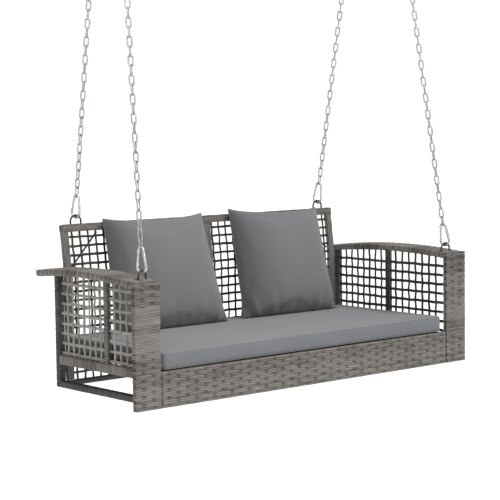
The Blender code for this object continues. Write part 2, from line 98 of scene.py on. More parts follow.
# Open panels: strand size, how far strands go in front of and behind each other, and their spacing.
STRAND_WIDTH = 0.0088
STRAND_THICKNESS = 0.0017
STRAND_SWING = 0.0011
STRAND_WOBBLE = 0.0008
STRAND_WAVES = (0.23, 0.11, 0.057)
STRAND_STEP = 0.008
STRAND_LET_IN = 0.006
ARM_PITCH = (0.0326, 0.0336)
ARM_GAPS = {"front": (0.030, 0.026), "rear": (0.026, 0.035)}
ARM_ROW_SPAN = (0.118, 0.353)
ARM_WIDTHS = (1.05, 1.25)
BACK_PITCH = (0.0318, 0.0305)
BACK_GAPS = {"outer": 0.018, "inner": 0.011, "low": 0.024, "high": 0.018}
BACK_WIDTHS = (0.9, 1.1)
DECK_PITCH = 0.034
DECK_GAPS = (0.020, 0.016)
DECK_WIDTHS = (4.0, 4.05)
DECK_INSET = 0.003

# Chain links, eyes, snap hooks and top rings: wire radii, sizes, turns and places. CHAIN_TWIST is how
# far a chain turns past its quarter turns, EYE_FOOT_BACK is how far behind an eye the armrest's height
# is taken, and EYE_LIFT is how far an eye's foot stands off the frame.
LINK_PITCH = 0.030
LINK_WIRE = 0.0025
LINK_HALF_WIDTH = 0.0070
CHAIN_TWIST = 1.1
EYE_WIRE = 0.0032
EYE_SPACING = 0.042
EYE_HEIGHT = 0.031
EYE_TURN = {"front_left": math.radians(20)}
EYE_FOOT_BACK = 0.006
EYE_LIFT = {"front": 0.0004, "back": 0.0002}
FRONT_EYE = (0.688, FRONT + 0.042)
BACK_EYE_X = 0.559
HOOK_WIRE = 0.0046
HOOK_WIDE_RADIUS = 0.0165
HOOK_NARROW_RADIUS = 0.0095
HOOK_LENGTH = 0.052
HOOK_TURN = math.radians(18)
GATE_RADIUS = 0.0037
RING_RADIUS = 0.025
RING_WIRE = 0.004
RING_CENTRE = (0.589, FRONT + 0.287, 2.309)
HOOK_GAP = 0.0003

# The gate: where its nose and hinge lie on its side of the hook, and its pin.
NOSE_SHARE = 0.10
HINGE_SHARE = 0.84
STUB_GAP = 0.0006
GATE_ROOT = 0.0028
GATE_TIP_GAP = 0.0012
PIN_RADIUS = 0.0012
PIN_REACH = 0.0052

# A wire's rounded tip: how far its two last rings stand out and how wide they are, as shares of its radius.
TIP_REACHES = (0.51, 0.30)
TIP_RADII = (0.45, 0.85)

# How finely round things are divided, the sharpest edge that is shaded smooth, and a length close to zero.
WIRE_SIDES = 14
LINK_SIDES = 8
SEAM_SIDES = 8
LINK_STEPS = 8
EYE_STEPS = 20
HOOK_STEPS = {"narrow": 16, "wide": 24}
RING_STEPS = 48
SHARP_EDGE = math.radians(62)
TINY = 1e-9

RANDOM_SEED = 7
DECK_SEED = 5

# The camera, fitted to the photograph.
CAMERA_PLACE = (-3.63627, -4.23053, 0.90691)
CAMERA_YAW = 0.7065
CAMERA_PITCH = -0.084
CAMERA_ROLL = -0.0129
CAMERA_LENS = 115.5
SENSOR_WIDTH = 36

# The backdrop and the lights. The floor glows a little, so that it shows white in the picture.
FLOOR_HEIGHT = -0.90
FLOOR_SIZE = 60
FLOOR_COLOUR = (0.86, 0.86, 0.86, 1)
FLOOR_GLOW = 0.35
FLOOR_ROUGHNESS = 0.9
KEY_SUN = {"towards": (0.34, -0.48, 1.0), "strength": 1.95, "softness": 25}
SOFT_BOX = {"place": (-1.2, FRONT - 1.9, 2.0), "target": (-0.2, 0, 0.2), "size": 1.2, "power": 28}
BACKDROP = {"fill": 0.50, "shown": 1.05}


# ---------------------------------------------------------------- meshes


def new_object(name, data):
    obj = bpy.data.objects.new(name, data)
    bpy.context.scene.collection.objects.link(obj)
    return obj


def add_piece(name, mesh, material, body="swing"):
    obj = new_object(name, mesh)
    mesh.materials.append(material)
    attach(obj, body)
    return obj


def points_of(mesh):
    return np.array([vertex.co for vertex in mesh.vertices])


def set_points(mesh, points):
    mesh.vertices.foreach_set("co", points.ravel())
    mesh.update()


def mark_points(mesh, name, values):
    """Gives each point of a mesh a value that a material can read."""
    attribute = mesh.attributes.new(name, "FLOAT", "POINT")
    attribute.data.foreach_set("value", values.astype(np.float32))


def mesh_from_arrays(name, points, quads, ends=(), uv=None, painted_cavity_shade=None):
    """A mesh of quads and end polygons. uv has one row per quad corner, the painted shade one value per
    point.
    """
    faces = [tuple(quad) for quad in quads.tolist()] + [tuple(end) for end in ends]
    mesh = bpy.data.meshes.new(name)
    mesh.from_pydata(points.tolist(), [], faces)
    if uv is not None:
        layer = mesh.uv_layers.new(name="strips")
        values = np.zeros((len(mesh.loops), 2), np.float32)
        values[: len(uv)] = uv
        layer.data.foreach_set("uv", values.ravel())
    if painted_cavity_shade is not None:
        mark_points(mesh, "painted_cavity_shade", painted_cavity_shade)
    mesh.shade_smooth()
    mesh.set_sharp_from_angle(angle=SHARP_EDGE)
    mesh.validate()
    return mesh


def tube_quads(rings, sides, first=0, closed=False):
    """Quads between rings of points; a closed tube joins its last ring to its first."""
    last = rings if closed else rings - 1
    ring, side = np.meshgrid(np.arange(last), np.arange(sides), indexing="ij")
    following = (ring + 1) % rings
    beside = (side + 1) % sides
    here, there = ring * sides, following * sides
    corners = (here + side, here + beside, there + beside, there + side)
    return first + np.stack(corners, axis=-1).reshape(-1, 4)


def loop_at(run, width, depth, radius):
    """Point and outward normal on a rounded rectangle, at each distance run from the middle of its front."""
    flat = width / 2 - radius
    arc = math.pi / 2 * radius
    quarter = flat + arc + depth / 2 - radius
    run = np.mod(run, 4 * quarter)
    part = np.minimum((run // quarter).astype(int), 3)
    odd = part % 2 == 1
    along = np.where(odd, (part + 1) * quarter - run, run - part * quarter)
    angle = np.clip((along - flat) / radius, 0, math.pi / 2)
    x = np.minimum(along, flat) + radius * np.sin(angle)
    y = -depth / 2 + radius * (1 - np.cos(angle)) + np.maximum(along - flat - arc, 0)
    flip_x = np.where(part >= 2, -1, 1)
    flip_y = np.where((part == 1) | (part == 2), -1, 1)
    point = np.stack([x * flip_x, y * flip_y], axis=-1)
    normal = np.stack([np.sin(angle) * flip_x, -np.cos(angle) * flip_y], axis=-1)
    return point, normal


def perimeter(width, depth, radius):
    return 2 * (width + depth) - 8 * radius + 2 * math.pi * radius


def loop_runs(width, depth, radius, step, corner_steps=3):
    """Distances round a rounded rectangle, evenly spread on each flat and each corner."""
    half_flat = width / 2 - radius
    side = depth - 2 * radius
    corner = (math.pi / 2 * radius, math.pi / 2 * radius / corner_steps)
    pieces = [(half_flat, step), corner, (side, step), corner, (2 * half_flat, step)]
    pieces += [corner, (side, step), corner, (half_flat, step)]
    runs = []
    start = 0.0
    for length, spacing in pieces:
        count = max(1, round(length / spacing))
        runs += [start + length * i / count for i in range(count)]
        start += length
    return np.array(runs)


def plain(position, run, turn):
    """The sway of strips that are wound and not woven."""
    return 0 * position * run


def strip_heights(rows, amount, noise):
    """Outward height, sideways shift and painted shade of each row of a surface of strips.

    rows counts strips across the surface, and amount says how far each place on it is woven in or out.
    Strips go in pairs: one pair passes over a stake where its neighbours pass behind it.
    """
    count = int(round(rows[-1]))
    strip = np.minimum(np.floor(rows + TINY).astype(int), count - 1)
    fraction = rows - strip
    crown = STRIP_CROWN * (1 - np.abs(2 * fraction - 1) ** 3)
    parity = 1 - 2 * ((strip // 2) % 2)
    before = 1 - 2 * ((np.maximum(strip - 1, 0) // 2) % 2)
    groove = fraction < TINY
    base = in_or_out(parity[:, None] * amount)
    lower = np.minimum(base, in_or_out(before[:, None] * amount))
    base = np.where(groove[:, None], lower - GROOVE_DEPTH, base)
    lift = noise.normal(0, STRIP_LIFT, count + 1)[strip]
    height = base + (crown + lift)[:, None]
    place = np.mod(rows / 2, 1)
    pair_parity = 1 - 2 * (np.floor(rows / 2 + TINY).astype(int) % 2)
    shift = PAIR_SPREAD * (pair_parity * (2 * place - 1))[:, None] * amount
    # Painted shade: the strips are coloured darker in their grooves and where they sink behind a stake.
    shade = np.interp(fraction, (0, ROW_FRACTIONS[1]), GROOVE_SHADE)
    painted_cavity_shade = np.maximum(NOTCH_SHADE * np.clip(-base / WEAVE_IN, 0, 1), shade[:, None])
    return height, shift, painted_cavity_shade


def in_or_out(amount):
    """Height of a strip: it stands a little proud over a stake and sinks deep behind it."""
    return np.where(amount > 0, WEAVE_OUT, WEAVE_IN) * amount


def strip_rows(count):
    rows = (np.arange(count)[:, None] + np.array(ROW_FRACTIONS)).ravel()
    return np.append(rows, count)


def upward_strips(length, around, sway, step, noise):
    """Strips that run up a member, as a grid whose first axis goes round it and whose second goes up it.

    Gives the run, level, outward height and painted shade of each place, and the grid's pattern: distance
    along and across the strips, and what each comes to where the grid closes.
    """
    count = 4 * max(1, round(around / STRIP_PITCH / 4))
    rows = strip_rows(count)[:-1]
    ups = np.linspace(0, length, max(3, round(length / step)) + 1)
    spots = rows / count * around
    height, shift, painted_cavity_shade = strip_heights(rows, sway(spots[:, None], ups[None, :], around), noise)
    runs = spots[:, None] + shift
    levels = np.broadcast_to(ups[None, :], runs.shape)
    across = np.broadcast_to(rows[:, None], runs.shape)
    return runs, levels, height, painted_cavity_shade, (levels, across, None, float(count))


def wound_strips(length, around, runs, sway, noise, seed):
    """Strips that run round a member, as the same kind of grid."""
    count = max(2, round(length / STRIP_PITCH))
    rows = strip_rows(count)
    spots = rows / count * length
    from_front = np.where(runs > around / 2, runs - around, runs)
    height, shift, painted_cavity_shade = strip_heights(rows, sway(spots[:, None], from_front[None, :], around), noise)
    round_it = np.sin(2 * math.pi * runs / around + WANDER_PHASE * seed)
    wander = WANDER * round_it[None, :] * np.sin(spots * WANDER_RATE)[:, None]
    inside = np.clip(np.minimum(spots, length - spots) / WANDER_FADE, 0, 1)[:, None]
    levels = (spots[:, None] + (shift + wander) * inside).T
    runs = np.broadcast_to(runs[:, None], levels.shape)
    across = np.broadcast_to(rows[None, :], levels.shape)
    return runs, levels, height.T, painted_cavity_shade.T, (runs, across, around, None)


def sleeve_mesh(name, size, radius, sway=plain, lengthwise=False, step=SLEEVE_STEP, bend=None, seed=0):
    """An upright woven or wound member round the local Z axis, its front towards -Y.

    Its strips run round it, or up it where lengthwise is true. bend gives the middle's x and y at
    each height.
    """
    noise = np.random.default_rng(RANDOM_SEED + seed)
    width, depth, length = size
    width, depth = width - 2 * WEAVE_OUT, depth - 2 * WEAVE_OUT
    radius = min(radius, depth / 2 - CORNER_MARGIN)
    around = perimeter(width, depth, radius)
    if lengthwise:
        grid = upward_strips(length, around, sway, step, noise)
    else:
        grid = wound_strips(length, around, loop_runs(width, depth, radius, step), sway, noise, seed)
    runs, levels, height, painted_cavity_shade, pattern = grid
    from_end = np.clip(np.minimum(levels, length - levels), 0, END_ROUNDING)
    inset = END_ROUNDING - np.sqrt(END_ROUNDING**2 - (END_ROUNDING - from_end) ** 2)
    point, normal = loop_at(runs, width, depth, radius)
    flat = point + normal * (height - inset)[..., None]
    middle_x, middle_y = bend(levels) if bend else (0.0, 0.0)
    points = np.stack([flat[..., 0] + middle_x, flat[..., 1] + middle_y, levels], axis=-1)
    return ring_mesh(name, points, pattern, painted_cavity_shade)


def ring_mesh(name, points, pattern, painted_cavity_shade):
    """The mesh of a grid that is closed round its first axis and capped at both ends of its second."""
    running, across, running_end, across_end = pattern
    sides, levels = points.shape[:2]
    side, level = np.meshgrid(np.arange(sides), np.arange(levels - 1), indexing="ij")
    beside = (side + 1) % sides
    corners = ((side, level), (beside, level), (beside, level + 1), (side, level + 1))
    quads = np.stack([a * levels + b for a, b in corners], axis=-1).reshape(-1, 4)
    uv = []
    for number, (a, b) in enumerate(corners):
        u, v = running[a, b], across[a, b]
        wrapped = (a < side) if number in (1, 2) else np.zeros_like(side, bool)
        if running_end is not None:
            u = np.where(wrapped, running_end, u)
        if across_end is not None:
            v = np.where(wrapped, across_end, v)
        uv.append(np.stack([u, v], axis=-1))
    uv = np.stack(uv, axis=2).reshape(-1, 2)
    bottom = [i * levels for i in range(sides)][::-1]
    top = [i * levels + levels - 1 for i in range(sides)]
    return mesh_from_arrays(name, points.reshape(-1, 3), quads, (bottom, top), uv, painted_cavity_shade.reshape(-1))


# How a member is turned from upright: its front stays towards -Y, or faces up for one that runs back.
UPRIGHT = Matrix.Identity(4)
ACROSS = Matrix.Rotation(math.radians(90), 4, "Y")
BACKWARD = Matrix.Rotation(math.radians(-90), 4, "X")
LEAN = Matrix.Translation((0, BACK_MIDDLE, BACK_HEIGHT)) @ Matrix.Rotation(-BACK_TILT, 4, "X")


def seed_of(node):
    """A whole number that stays with a node's name."""
    return sum(node.encode())


def box_in(node, placing):
    """A CAD node's low and high corners in the frame that placing sets."""
    inverse = np.array(placing.inverted())
    points = points_of(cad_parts[node].data) @ inverse[:3, :3].T + inverse[:3, 3]
    return points.min(axis=0), points.max(axis=0)


def add_sleeve(
    node, turn, material, slot, radius=SLEEVE_CORNER, lean=False,
    section=None, ends=(0, 0), bend=None, **weave
):
    """The woven cover that stands for a CAD bar.

    ends is how far it runs on past the bar, into its neighbours. A cover that follows a curved middle
    takes its section, and bend gives that middle.
    """
    placing = (LEAN @ turn) if lean else turn
    low, high = box_in(node, placing)
    low[2], high[2] = low[2] - ends[0], high[2] + ends[1]
    size = high - low
    middle = (low + high) / 2
    if section:
        size[:2] = section
        middle[:2] = 0
    mesh = sleeve_mesh(f"{node}_weave", tuple(size), radius, bend=bend, seed=seed_of(node), **weave)
    mesh.transform(placing @ Matrix.Translation((middle[0], middle[1], low[2])))
    obj = add_piece(f"{node}_weave", mesh, material)
    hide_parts(node)
    return obj


# ---------------------------------------------------------------- woven frame

# Stakes: spacing under the apron's and the armrests' strips, and how far along a strip each one shows.
# Wraps round rails and stiles, and the post's plain stretch, where strips are only wound round it.
APRON_STAKE = 0.0365
APRON_CORNER = 0.008
APRON_RISE = 0.001
ARMREST_STAKE = 0.0255
ARMREST_CORNER = 0.005
WRAP_BAND = 0.029
WRAP_DEPTH = 0.3
STAKE_REACH = 0.0085
ARMREST_REACH = 0.008
POST_STAKES = 6
POST_PLAIN = {"left": (0.181, 0.317), "right": (0.103, 0.197)}
PLAIN_EDGE = 0.002
BACK_CORNER = 0.0025
BACK_OVERRUN = 0.002
MID_POST_OVERRUN = 0.006
# How far a middle post's face must look outwards to keep the lit strips; the rest take the painted shade.
MID_POST_PALE = 0.3


def near_stakes(run, spacing, reach=STAKE_REACH):
    """Plus or minus one by turns, close to each stake, and nothing between stakes."""
    nearest = np.round(run / spacing)
    return np.cos(math.pi * nearest) * np.exp(-(((run - nearest * spacing) / reach) ** 4))


def apron_sway(position, run, turn):
    return near_stakes(run, APRON_STAKE) + 0 * position


def post_sway(name):
    """Stakes evenly round a post, woven over except along its plain stretch."""
    low, high = POST_PLAIN[name]

    def sway(position, run, turn):
        below = 1 / (1 + np.exp((position - low) / PLAIN_EDGE))
        above = 1 / (1 + np.exp((high - position) / PLAIN_EDGE))
        spacing = turn / POST_STAKES
        return (below + above) * near_stakes(run + spacing / 2, spacing)

    return sway


def armrest_sway(position, run, turn):
    return near_stakes(run, ARMREST_STAKE, ARMREST_REACH) + 0 * position


def rail_sway(position, run, turn):
    """Wraps at every strand, which the lengthwise strips pass over and under."""
    return WRAP_DEPTH * np.cos(math.pi * run / WRAP_BAND) + 0 * position


def slab_top(y):
    return ARM_HEIGHT + SLAB_RISE * (1 - ((y - SLAB_PEAK) / SLAB_PEAK) ** 2)


def slab_bend(side):
    """The armrest's middle line, in the frame of a member that runs back, whose y points down."""

    def middle(run):
        y = run + SLAB_START
        return side * (ARM_MIDDLE - SLAB_SLANT * y / ARM_LENGTH), -(slab_top(y) - SLAB_THICKNESS / 2)

    return middle


def back_y(z):
    """Depth of the backrest's middle plane at a height, upright below its bend and leaning above it."""
    past = (z - BACK_BEND) / BEND_SPREAD
    return BACK_UPRIGHT + math.tan(BACK_TILT) * BEND_SPREAD * np.logaddexp(0, past)


def post_bend(middle_x, bottom):
    """The middle line of a backrest post."""
    return lambda run: (middle_x, back_y(run + bottom))


def add_back_post(node, material):
    """A backrest post: strips lengthwise, bent with the backrest, and let into the top rail."""
    low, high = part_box(node)
    middle_x = (low[0] + high[0]) / 2
    section = (high[0] - low[0], POST_DEPTH)
    top = BACK_HEIGHT - BACK_RAIL_HEIGHT / 2
    ends = (BACK_OVERRUN, top - high[2])
    bend = post_bend(middle_x, low[2] - ends[0])
    weave = {"lengthwise": True, "sway": rail_sway, "step": BACK_STEP}
    add_sleeve(node, UPRIGHT, material, "wicker", BACK_CORNER, section=section, ends=ends, bend=bend, **weave)


def add_arm_frame(name, side, wicker, dark_wicker):
    """The front post, the armrest and the bars of one arm."""
    node = f"front_post_{name}"
    rise = slab_top(POST_DEPTH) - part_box(node)[1][2]
    add_sleeve(node, UPRIGHT, wicker, "wicker", ends=(0, rise), sway=post_sway(name), step=FINE_STEP)
    add_sleeve(
        f"armrest_{name}", BACKWARD, wicker, "wicker", ARMREST_CORNER, section=(ARM_WIDTH, SLAB_THICKNESS),
        ends=(-SLAB_START, 0), bend=slab_bend(side), sway=armrest_sway, step=FINE_STEP,
    )
    both_ends = (LET_IN, LET_IN)
    # Painted shade: the back leg and the bottom rail take the darker copy of the strips.
    add_sleeve(f"back_leg_{name}", UPRIGHT, dark_wicker, "dark_wicker", ends=(0, LET_IN))
    mid_post = add_sleeve(f"mid_post_{name}", UPRIGHT, wicker, "wicker", ends=(LET_IN, MID_POST_OVERRUN))
    # Painted shade: the middle post's faces that do not look clearly outwards take the darker strips.
    shade_two_sides(mid_post.data, (side, 0, 0), dark_wicker, MID_POST_PALE)
    add_sleeve(f"arm_seat_rail_{name}", BACKWARD, wicker, "wicker", ends=both_ends)
    add_sleeve(f"arm_bottom_rail_{name}", BACKWARD, dark_wicker, "dark_wicker", ends=both_ends)


def add_woven_frame(wicker, dark_wicker):
    # Painted shade: the seat bars, the seat rails and the backrest's bottom rail take the darker copy of the
    # strips.
    for name, side in SIDES.items():
        add_arm_frame(name, side, wicker, dark_wicker)
        add_back_post(f"back_stile_{name}", wicker)
        add_sleeve(f"seat_cross_bar_{name}", BACKWARD, dark_wicker, "dark_wicker")
    add_back_post("back_mid_stile", wicker)
    weave = {"lengthwise": True, "sway": rail_sway, "step": BACK_STEP}
    add_sleeve("back_top_rail", ACROSS, wicker, "wicker", lean=True, **weave)
    add_sleeve("back_bottom_rail", ACROSS, dark_wicker, "dark_wicker")
    weave = {"sway": apron_sway, "step": FINE_STEP}
    add_sleeve("front_apron", UPRIGHT, wicker, "wicker", APRON_CORNER, ends=(0, APRON_RISE), **weave)
    add_sleeve("seat_front_rail", ACROSS, dark_wicker, "dark_wicker")
    add_sleeve("seat_rear_rail", ACROSS, dark_wicker, "dark_wicker")


# ---------------------------------------------------------------- open panels

# A strand's section, as shares of its width and thickness, where its tones start, and how much a face
# has to look inwards to take the painted shade.
HALF_SECTION = ((-0.5, 0), (-0.42, -0.45), (0, -0.55), (0.42, -0.45))
STRAND_SECTION = HALF_SECTION + tuple((-x, -y) for x, y in HALF_SECTION)
COLUMN_TONE = 0.05
ROW_TONE = 200.05
TONE_SPAN = 0.9
INWARD_LIMIT = -0.3


def strand_spots(low, high, pitch, gap_low, gap_high):
    """Where strands cross a panel: the given gaps at its ends and even steps between."""
    count = max(1, round((high - low - gap_low - gap_high) / pitch))
    return np.linspace(low + gap_low, high - gap_high, count + 1)


def crossing_index(position, spots):
    """How many crossings a point has passed, as a smooth number that is whole at each crossing."""
    step = spots[1] - spots[0]
    ends = np.concatenate([[spots[0] - step], spots, [spots[-1] + step]])
    return np.interp(position, ends, np.arange(-1, len(spots) + 1))


def strand_points(run, side_spot, out, upright, wobble, width):
    """Rings of points along one flat strand of a panel in the local XZ plane."""
    along = np.gradient(run)
    slope = np.gradient(out) / along
    normal_run = -slope / np.sqrt(1 + slope**2)
    normal_out = 1 / np.sqrt(1 + slope**2)
    section = np.array(STRAND_SECTION)
    wide = side_spot + wobble[:, None] + section[None, :, 0] * width
    thick = section[None, :, 1] * STRAND_THICKNESS
    lengthways = run[:, None] + thick * normal_run[:, None]
    depth = out[:, None] + thick * normal_out[:, None]
    if upright:
        return np.stack([wide, depth, lengthways], axis=-1)
    return np.stack([lengthways, depth, wide], axis=-1)


def smooth_wander(run, noise, size):
    """A slow sideways wander along a strand."""
    phase = noise.uniform(0, 2 * math.pi, 3)
    return size * sum(np.sin(2 * math.pi * run / wave + p) for wave, p in zip(STRAND_WAVES, phase)) / 2


def strand_panel_mesh(name, columns, rows, spans, seed, widths):
    """Crossing strands, each passing in front of one and behind the next. Spans give where strands end."""
    noise = np.random.default_rng(RANDOM_SEED + seed)
    column_span, row_span = spans
    points, quads, ends, uv = [], [], [], []
    sides = len(STRAND_SECTION)
    first = 0
    strands = [(True, i, spot) for i, spot in enumerate(columns)]
    strands += [(False, i, spot) for i, spot in enumerate(rows)]
    for upright, number, spot in strands:
        low, high = column_span(spot) if upright else row_span
        run = np.linspace(low, high, max(4, round((high - low) / STRAND_STEP)) + 1)
        crossing = crossing_index(run, rows if upright else columns)
        sense = 1 if upright else -1
        out = sense * STRAND_SWING * np.cos(math.pi * (crossing + number))
        wobble = smooth_wander(run, noise, STRAND_WOBBLE)
        width = STRAND_WIDTH * noise.uniform(*widths)
        rings = strand_points(run, spot, out, upright, wobble, width)
        if not upright:
            rings = rings[:, ::-1]
        points.append(rings.reshape(-1, 3))
        quads.append(tube_quads(len(run), sides, first))
        ends.append([first + i for i in range(sides)][::-1])
        ends.append([first + (len(run) - 1) * sides + i for i in range(sides)])
        tone = number + (COLUMN_TONE if upright else ROW_TONE)
        across = tone + TONE_SPAN * np.abs(np.linspace(-1, 1, sides))
        ring, side = np.divmod(tube_quads(len(run), sides), sides)
        uv.append(np.stack([run[ring], across[side]], axis=-1).reshape(-1, 2))
        first += len(run) * sides
    return mesh_from_arrays(name, np.concatenate(points), np.concatenate(quads), ends, np.concatenate(uv))


def shade_two_sides(mesh, outward, painted_shade_material, limit=INWARD_LIMIT):
    """Gives the faces that look less than limit along the way outwards the darker material, as painted shade.
    """
    mesh.materials.append(painted_shade_material)
    normals = np.zeros(len(mesh.polygons) * 3, np.float32)
    mesh.polygons.foreach_get("normal", normals)
    facing = normals.reshape(-1, 3) @ np.array(outward)
    mesh.polygons.foreach_set("material_index", (facing < limit).astype(np.int32))


def add_panel(node, mesh, materials, outward):
    """The strands that stand for a CAD panel, in a lit material outside and a darker one inside as painted
    shade.
    """
    outer, inner = materials
    obj = add_piece(f"{node}_strands", mesh, outer)
    shade_two_sides(mesh, outward, inner)
    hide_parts(node)


def add_arm_panels(materials):
    """The open fields of the arms, one before and one behind each middle post."""
    turn = Matrix.Rotation(math.radians(90), 4, "Z")
    for name, side in SIDES.items():
        for field, gaps in ARM_GAPS.items():
            node = f"arm_lattice_{field}_{name}"
            low, high = box_in(node, turn)
            columns = strand_spots(low[0], high[0], ARM_PITCH[0], *gaps)
            rows = strand_spots(*ARM_ROW_SPAN, ARM_PITCH[1], 0, 0)

            def column_span(spot, bottom=low[2]):
                return bottom - STRAND_LET_IN, slab_top(spot - FRONT) - SLAB_THICKNESS + LET_IN

            spans = (column_span, (low[0] - STRAND_LET_IN, high[0] + STRAND_LET_IN))
            mesh = strand_panel_mesh(f"{node}_strands", columns, rows, spans, seed_of(node), ARM_WIDTHS)
            middle = (low[1] + high[1]) / 2
            mesh.transform(turn @ Matrix.Translation((0, middle, 0)))
            add_panel(node, mesh, materials, (side, 0, 0))


def add_back_panels(materials):
    """The open fields of the backrest, bent as its posts are."""
    for name, side in SIDES.items():
        node = f"back_lattice_{name}"
        low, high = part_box(node)
        outer, inner = BACK_GAPS["outer"], BACK_GAPS["inner"]
        gaps = (outer, inner) if side < 0 else (inner, outer)
        columns = strand_spots(low[0], high[0], BACK_PITCH[0], *gaps)
        rows = strand_spots(low[2], high[2], BACK_PITCH[1], BACK_GAPS["low"], BACK_GAPS["high"])
        column_ends = (low[2] - STRAND_LET_IN, high[2] + STRAND_LET_IN)
        spans = (lambda spot, ends=column_ends: ends, (low[0] - STRAND_LET_IN, high[0] + STRAND_LET_IN))
        mesh = strand_panel_mesh(f"{node}_strands", columns, rows, spans, seed_of(node), BACK_WIDTHS)
        places = points_of(mesh)
        places[:, 1] += back_y(places[:, 2])
        set_points(mesh, places)
        add_panel(node, mesh, materials, (0, 1, 0))


def add_seat_deck(material):
    """Wide flat strips plaited under the cushion."""
    low, high = box_in("seat_deck", UPRIGHT)
    across, back = DECK_GAPS
    columns = strand_spots(low[0], high[0], DECK_PITCH, across, across)
    rows = strand_spots(-high[1], -low[1], DECK_PITCH, back, back)
    ends = (-high[1] + DECK_INSET, -low[1] - DECK_INSET)
    spans = (lambda spot: ends, (low[0] + DECK_INSET, high[0] - DECK_INSET))
    name = "seat_deck_straps"
    mesh = strand_panel_mesh(name, columns, rows, spans, DECK_SEED, DECK_WIDTHS)
    lie_flat = Matrix.Rotation(math.radians(90), 4, "X")
    mesh.transform(Matrix.Translation((0, 0, (low[2] + high[2]) / 2)) @ lie_flat)
    obj = add_piece(name, mesh, material)
    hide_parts("seat_deck")


# ---------------------------------------------------------------- hanging gear


def arc(centre, right, up, radius, start, end, steps):
    """Points on a circle, from angle start to angle end in degrees."""
    angles = [math.radians(start + (end - start) * i / steps) for i in range(steps + 1)]
    return [centre + radius * (math.cos(a) * right + math.sin(a) * up) for a in angles]


def round_points(path, radii, outward, across, sides):
    """A ring of points round each point of a path, in the plane of two directions."""
    turns = 2 * math.pi * np.arange(sides) / sides
    around = outward[:, None] * np.cos(turns)[None, :, None] + across[:, None] * np.sin(turns)[None, :, None]
    return (path[:, None] + around * radii[:, None, None]).reshape(-1, 3)


def wire_arrays(path, radius, normal, sides, closed):
    """Points, quads and ends of a round wire along a flat path, with rounded ends where it is open."""
    path = np.array([tuple(point) for point in path])
    normal = np.array(tuple(normal))
    radii = np.full(len(path), radius)
    if closed:
        along = np.roll(path, -1, axis=0) - np.roll(path, 1, axis=0)
    else:
        first = (path[0] - path[1]) / np.linalg.norm(path[0] - path[1])
        last = (path[-1] - path[-2]) / np.linalg.norm(path[-1] - path[-2])
        before = [path[0] + first * radius * reach for reach in TIP_REACHES]
        after = [path[-1] + last * radius * reach for reach in TIP_REACHES[::-1]]
        tips = radius * np.array(TIP_RADII)
        path = np.concatenate([before, path, after])
        radii = np.concatenate([tips, radii, tips[::-1]])
        along = np.gradient(path, axis=0)
    along /= np.linalg.norm(along, axis=1)[:, None]
    outward = np.cross(along, normal)
    outward /= np.linalg.norm(outward, axis=1)[:, None]
    points = round_points(path, radii, outward, normal[None], sides)
    quads = tube_quads(len(path), sides, closed=closed)
    if closed:
        return points, quads[:, ::-1], []
    ends = [list(range(sides)), [(len(path) - 1) * sides + i for i in range(sides)][::-1]]
    return points, quads[:, ::-1], ends


def add_wire(name, path, radius, normal, material, slot, body="swing", node=None, closed=False):
    points, quads, ends = wire_arrays(path, radius, normal, WIRE_SIDES, closed)
    mesh = mesh_from_arrays(name, points, quads, ends)
    obj = add_piece(name, mesh, material, body)
    if node:
        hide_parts(node)
    return obj


def link_arrays():
    """One chain link round the origin, long along local Z and wide along local X."""
    half_straight = LINK_PITCH / 2 + LINK_WIRE - LINK_HALF_WIDTH
    right, up = Vector((1, 0, 0)), Vector((0, 0, 1))
    path = arc(half_straight * up, right, up, LINK_HALF_WIDTH, 0, 180, LINK_STEPS)
    path += arc(-half_straight * up, right, up, LINK_HALF_WIDTH, 180, 360, LINK_STEPS)
    return wire_arrays(path, LINK_WIRE, Vector((0, 1, 0)), LINK_SIDES, closed=True)[:2]


def add_chain(name, hook_top, first_side, ring_centre, material):
    """Links from the snap hook's narrow end to the top ring, turning slowly so that both ends fit."""
    direction = (ring_centre - hook_top).normalized()
    start = hook_top - (HOOK_WIRE + LINK_WIRE) * direction
    end = ring_centre - (RING_RADIUS - RING_WIRE - LINK_WIRE) * direction
    count = round(((end - start).length - 2 * LINK_WIRE) / LINK_PITCH)
    pitch = ((end - start).length - 2 * LINK_WIRE) / count
    last_side = Vector((1, 0, 0))
    last_side = (last_side - last_side.dot(direction) * direction).normalized()
    first_side = (first_side - first_side.dot(direction) * direction).normalized()
    turn = math.atan2(first_side.cross(last_side).dot(direction), first_side.dot(last_side))
    quarter_turns = (count - 1) * math.pi / 2
    wanted = turn + math.pi * round((quarter_turns + CHAIN_TWIST - turn) / math.pi)
    link_points, link_quads = link_arrays()
    points, quads = [], []
    for i in range(count):
        middle = start + (LINK_WIRE + pitch * (i + 0.5)) * direction
        side = Matrix.Rotation(wanted * i / (count - 1), 3, direction) @ first_side
        axes = Matrix((side, direction.cross(side), direction)).transposed()
        points.append(link_points @ np.array(axes).T + np.array(middle))
        quads.append(link_quads + i * len(link_points))
    mesh = mesh_from_arrays(f"chain_{name}_links", np.concatenate(points), np.concatenate(quads))
    obj = add_piece(f"chain_{name}_links", mesh, material)
    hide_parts(f"chain_{name}")


def add_eye(name, x, y, base, material):
    half = EYE_SPACING / 2
    foot = Vector((x, y, base - LET_IN))
    shoulder = Vector((x, y, base + EYE_HEIGHT - EYE_WIRE - half))
    up = Vector((0, 0, 1))
    right = Matrix.Rotation(EYE_TURN.get(name, 0.0), 3, "Z") @ Vector((1, 0, 0))
    path = [foot + half * right, *arc(shoulder, right, up, half, 0, 180, EYE_STEPS), foot - half * right]
    add_wire(f"eye_{name}_loop", path, EYE_WIRE, up.cross(right), material, "black_steel", node=f"eye_{name}")
    return shoulder + half * up


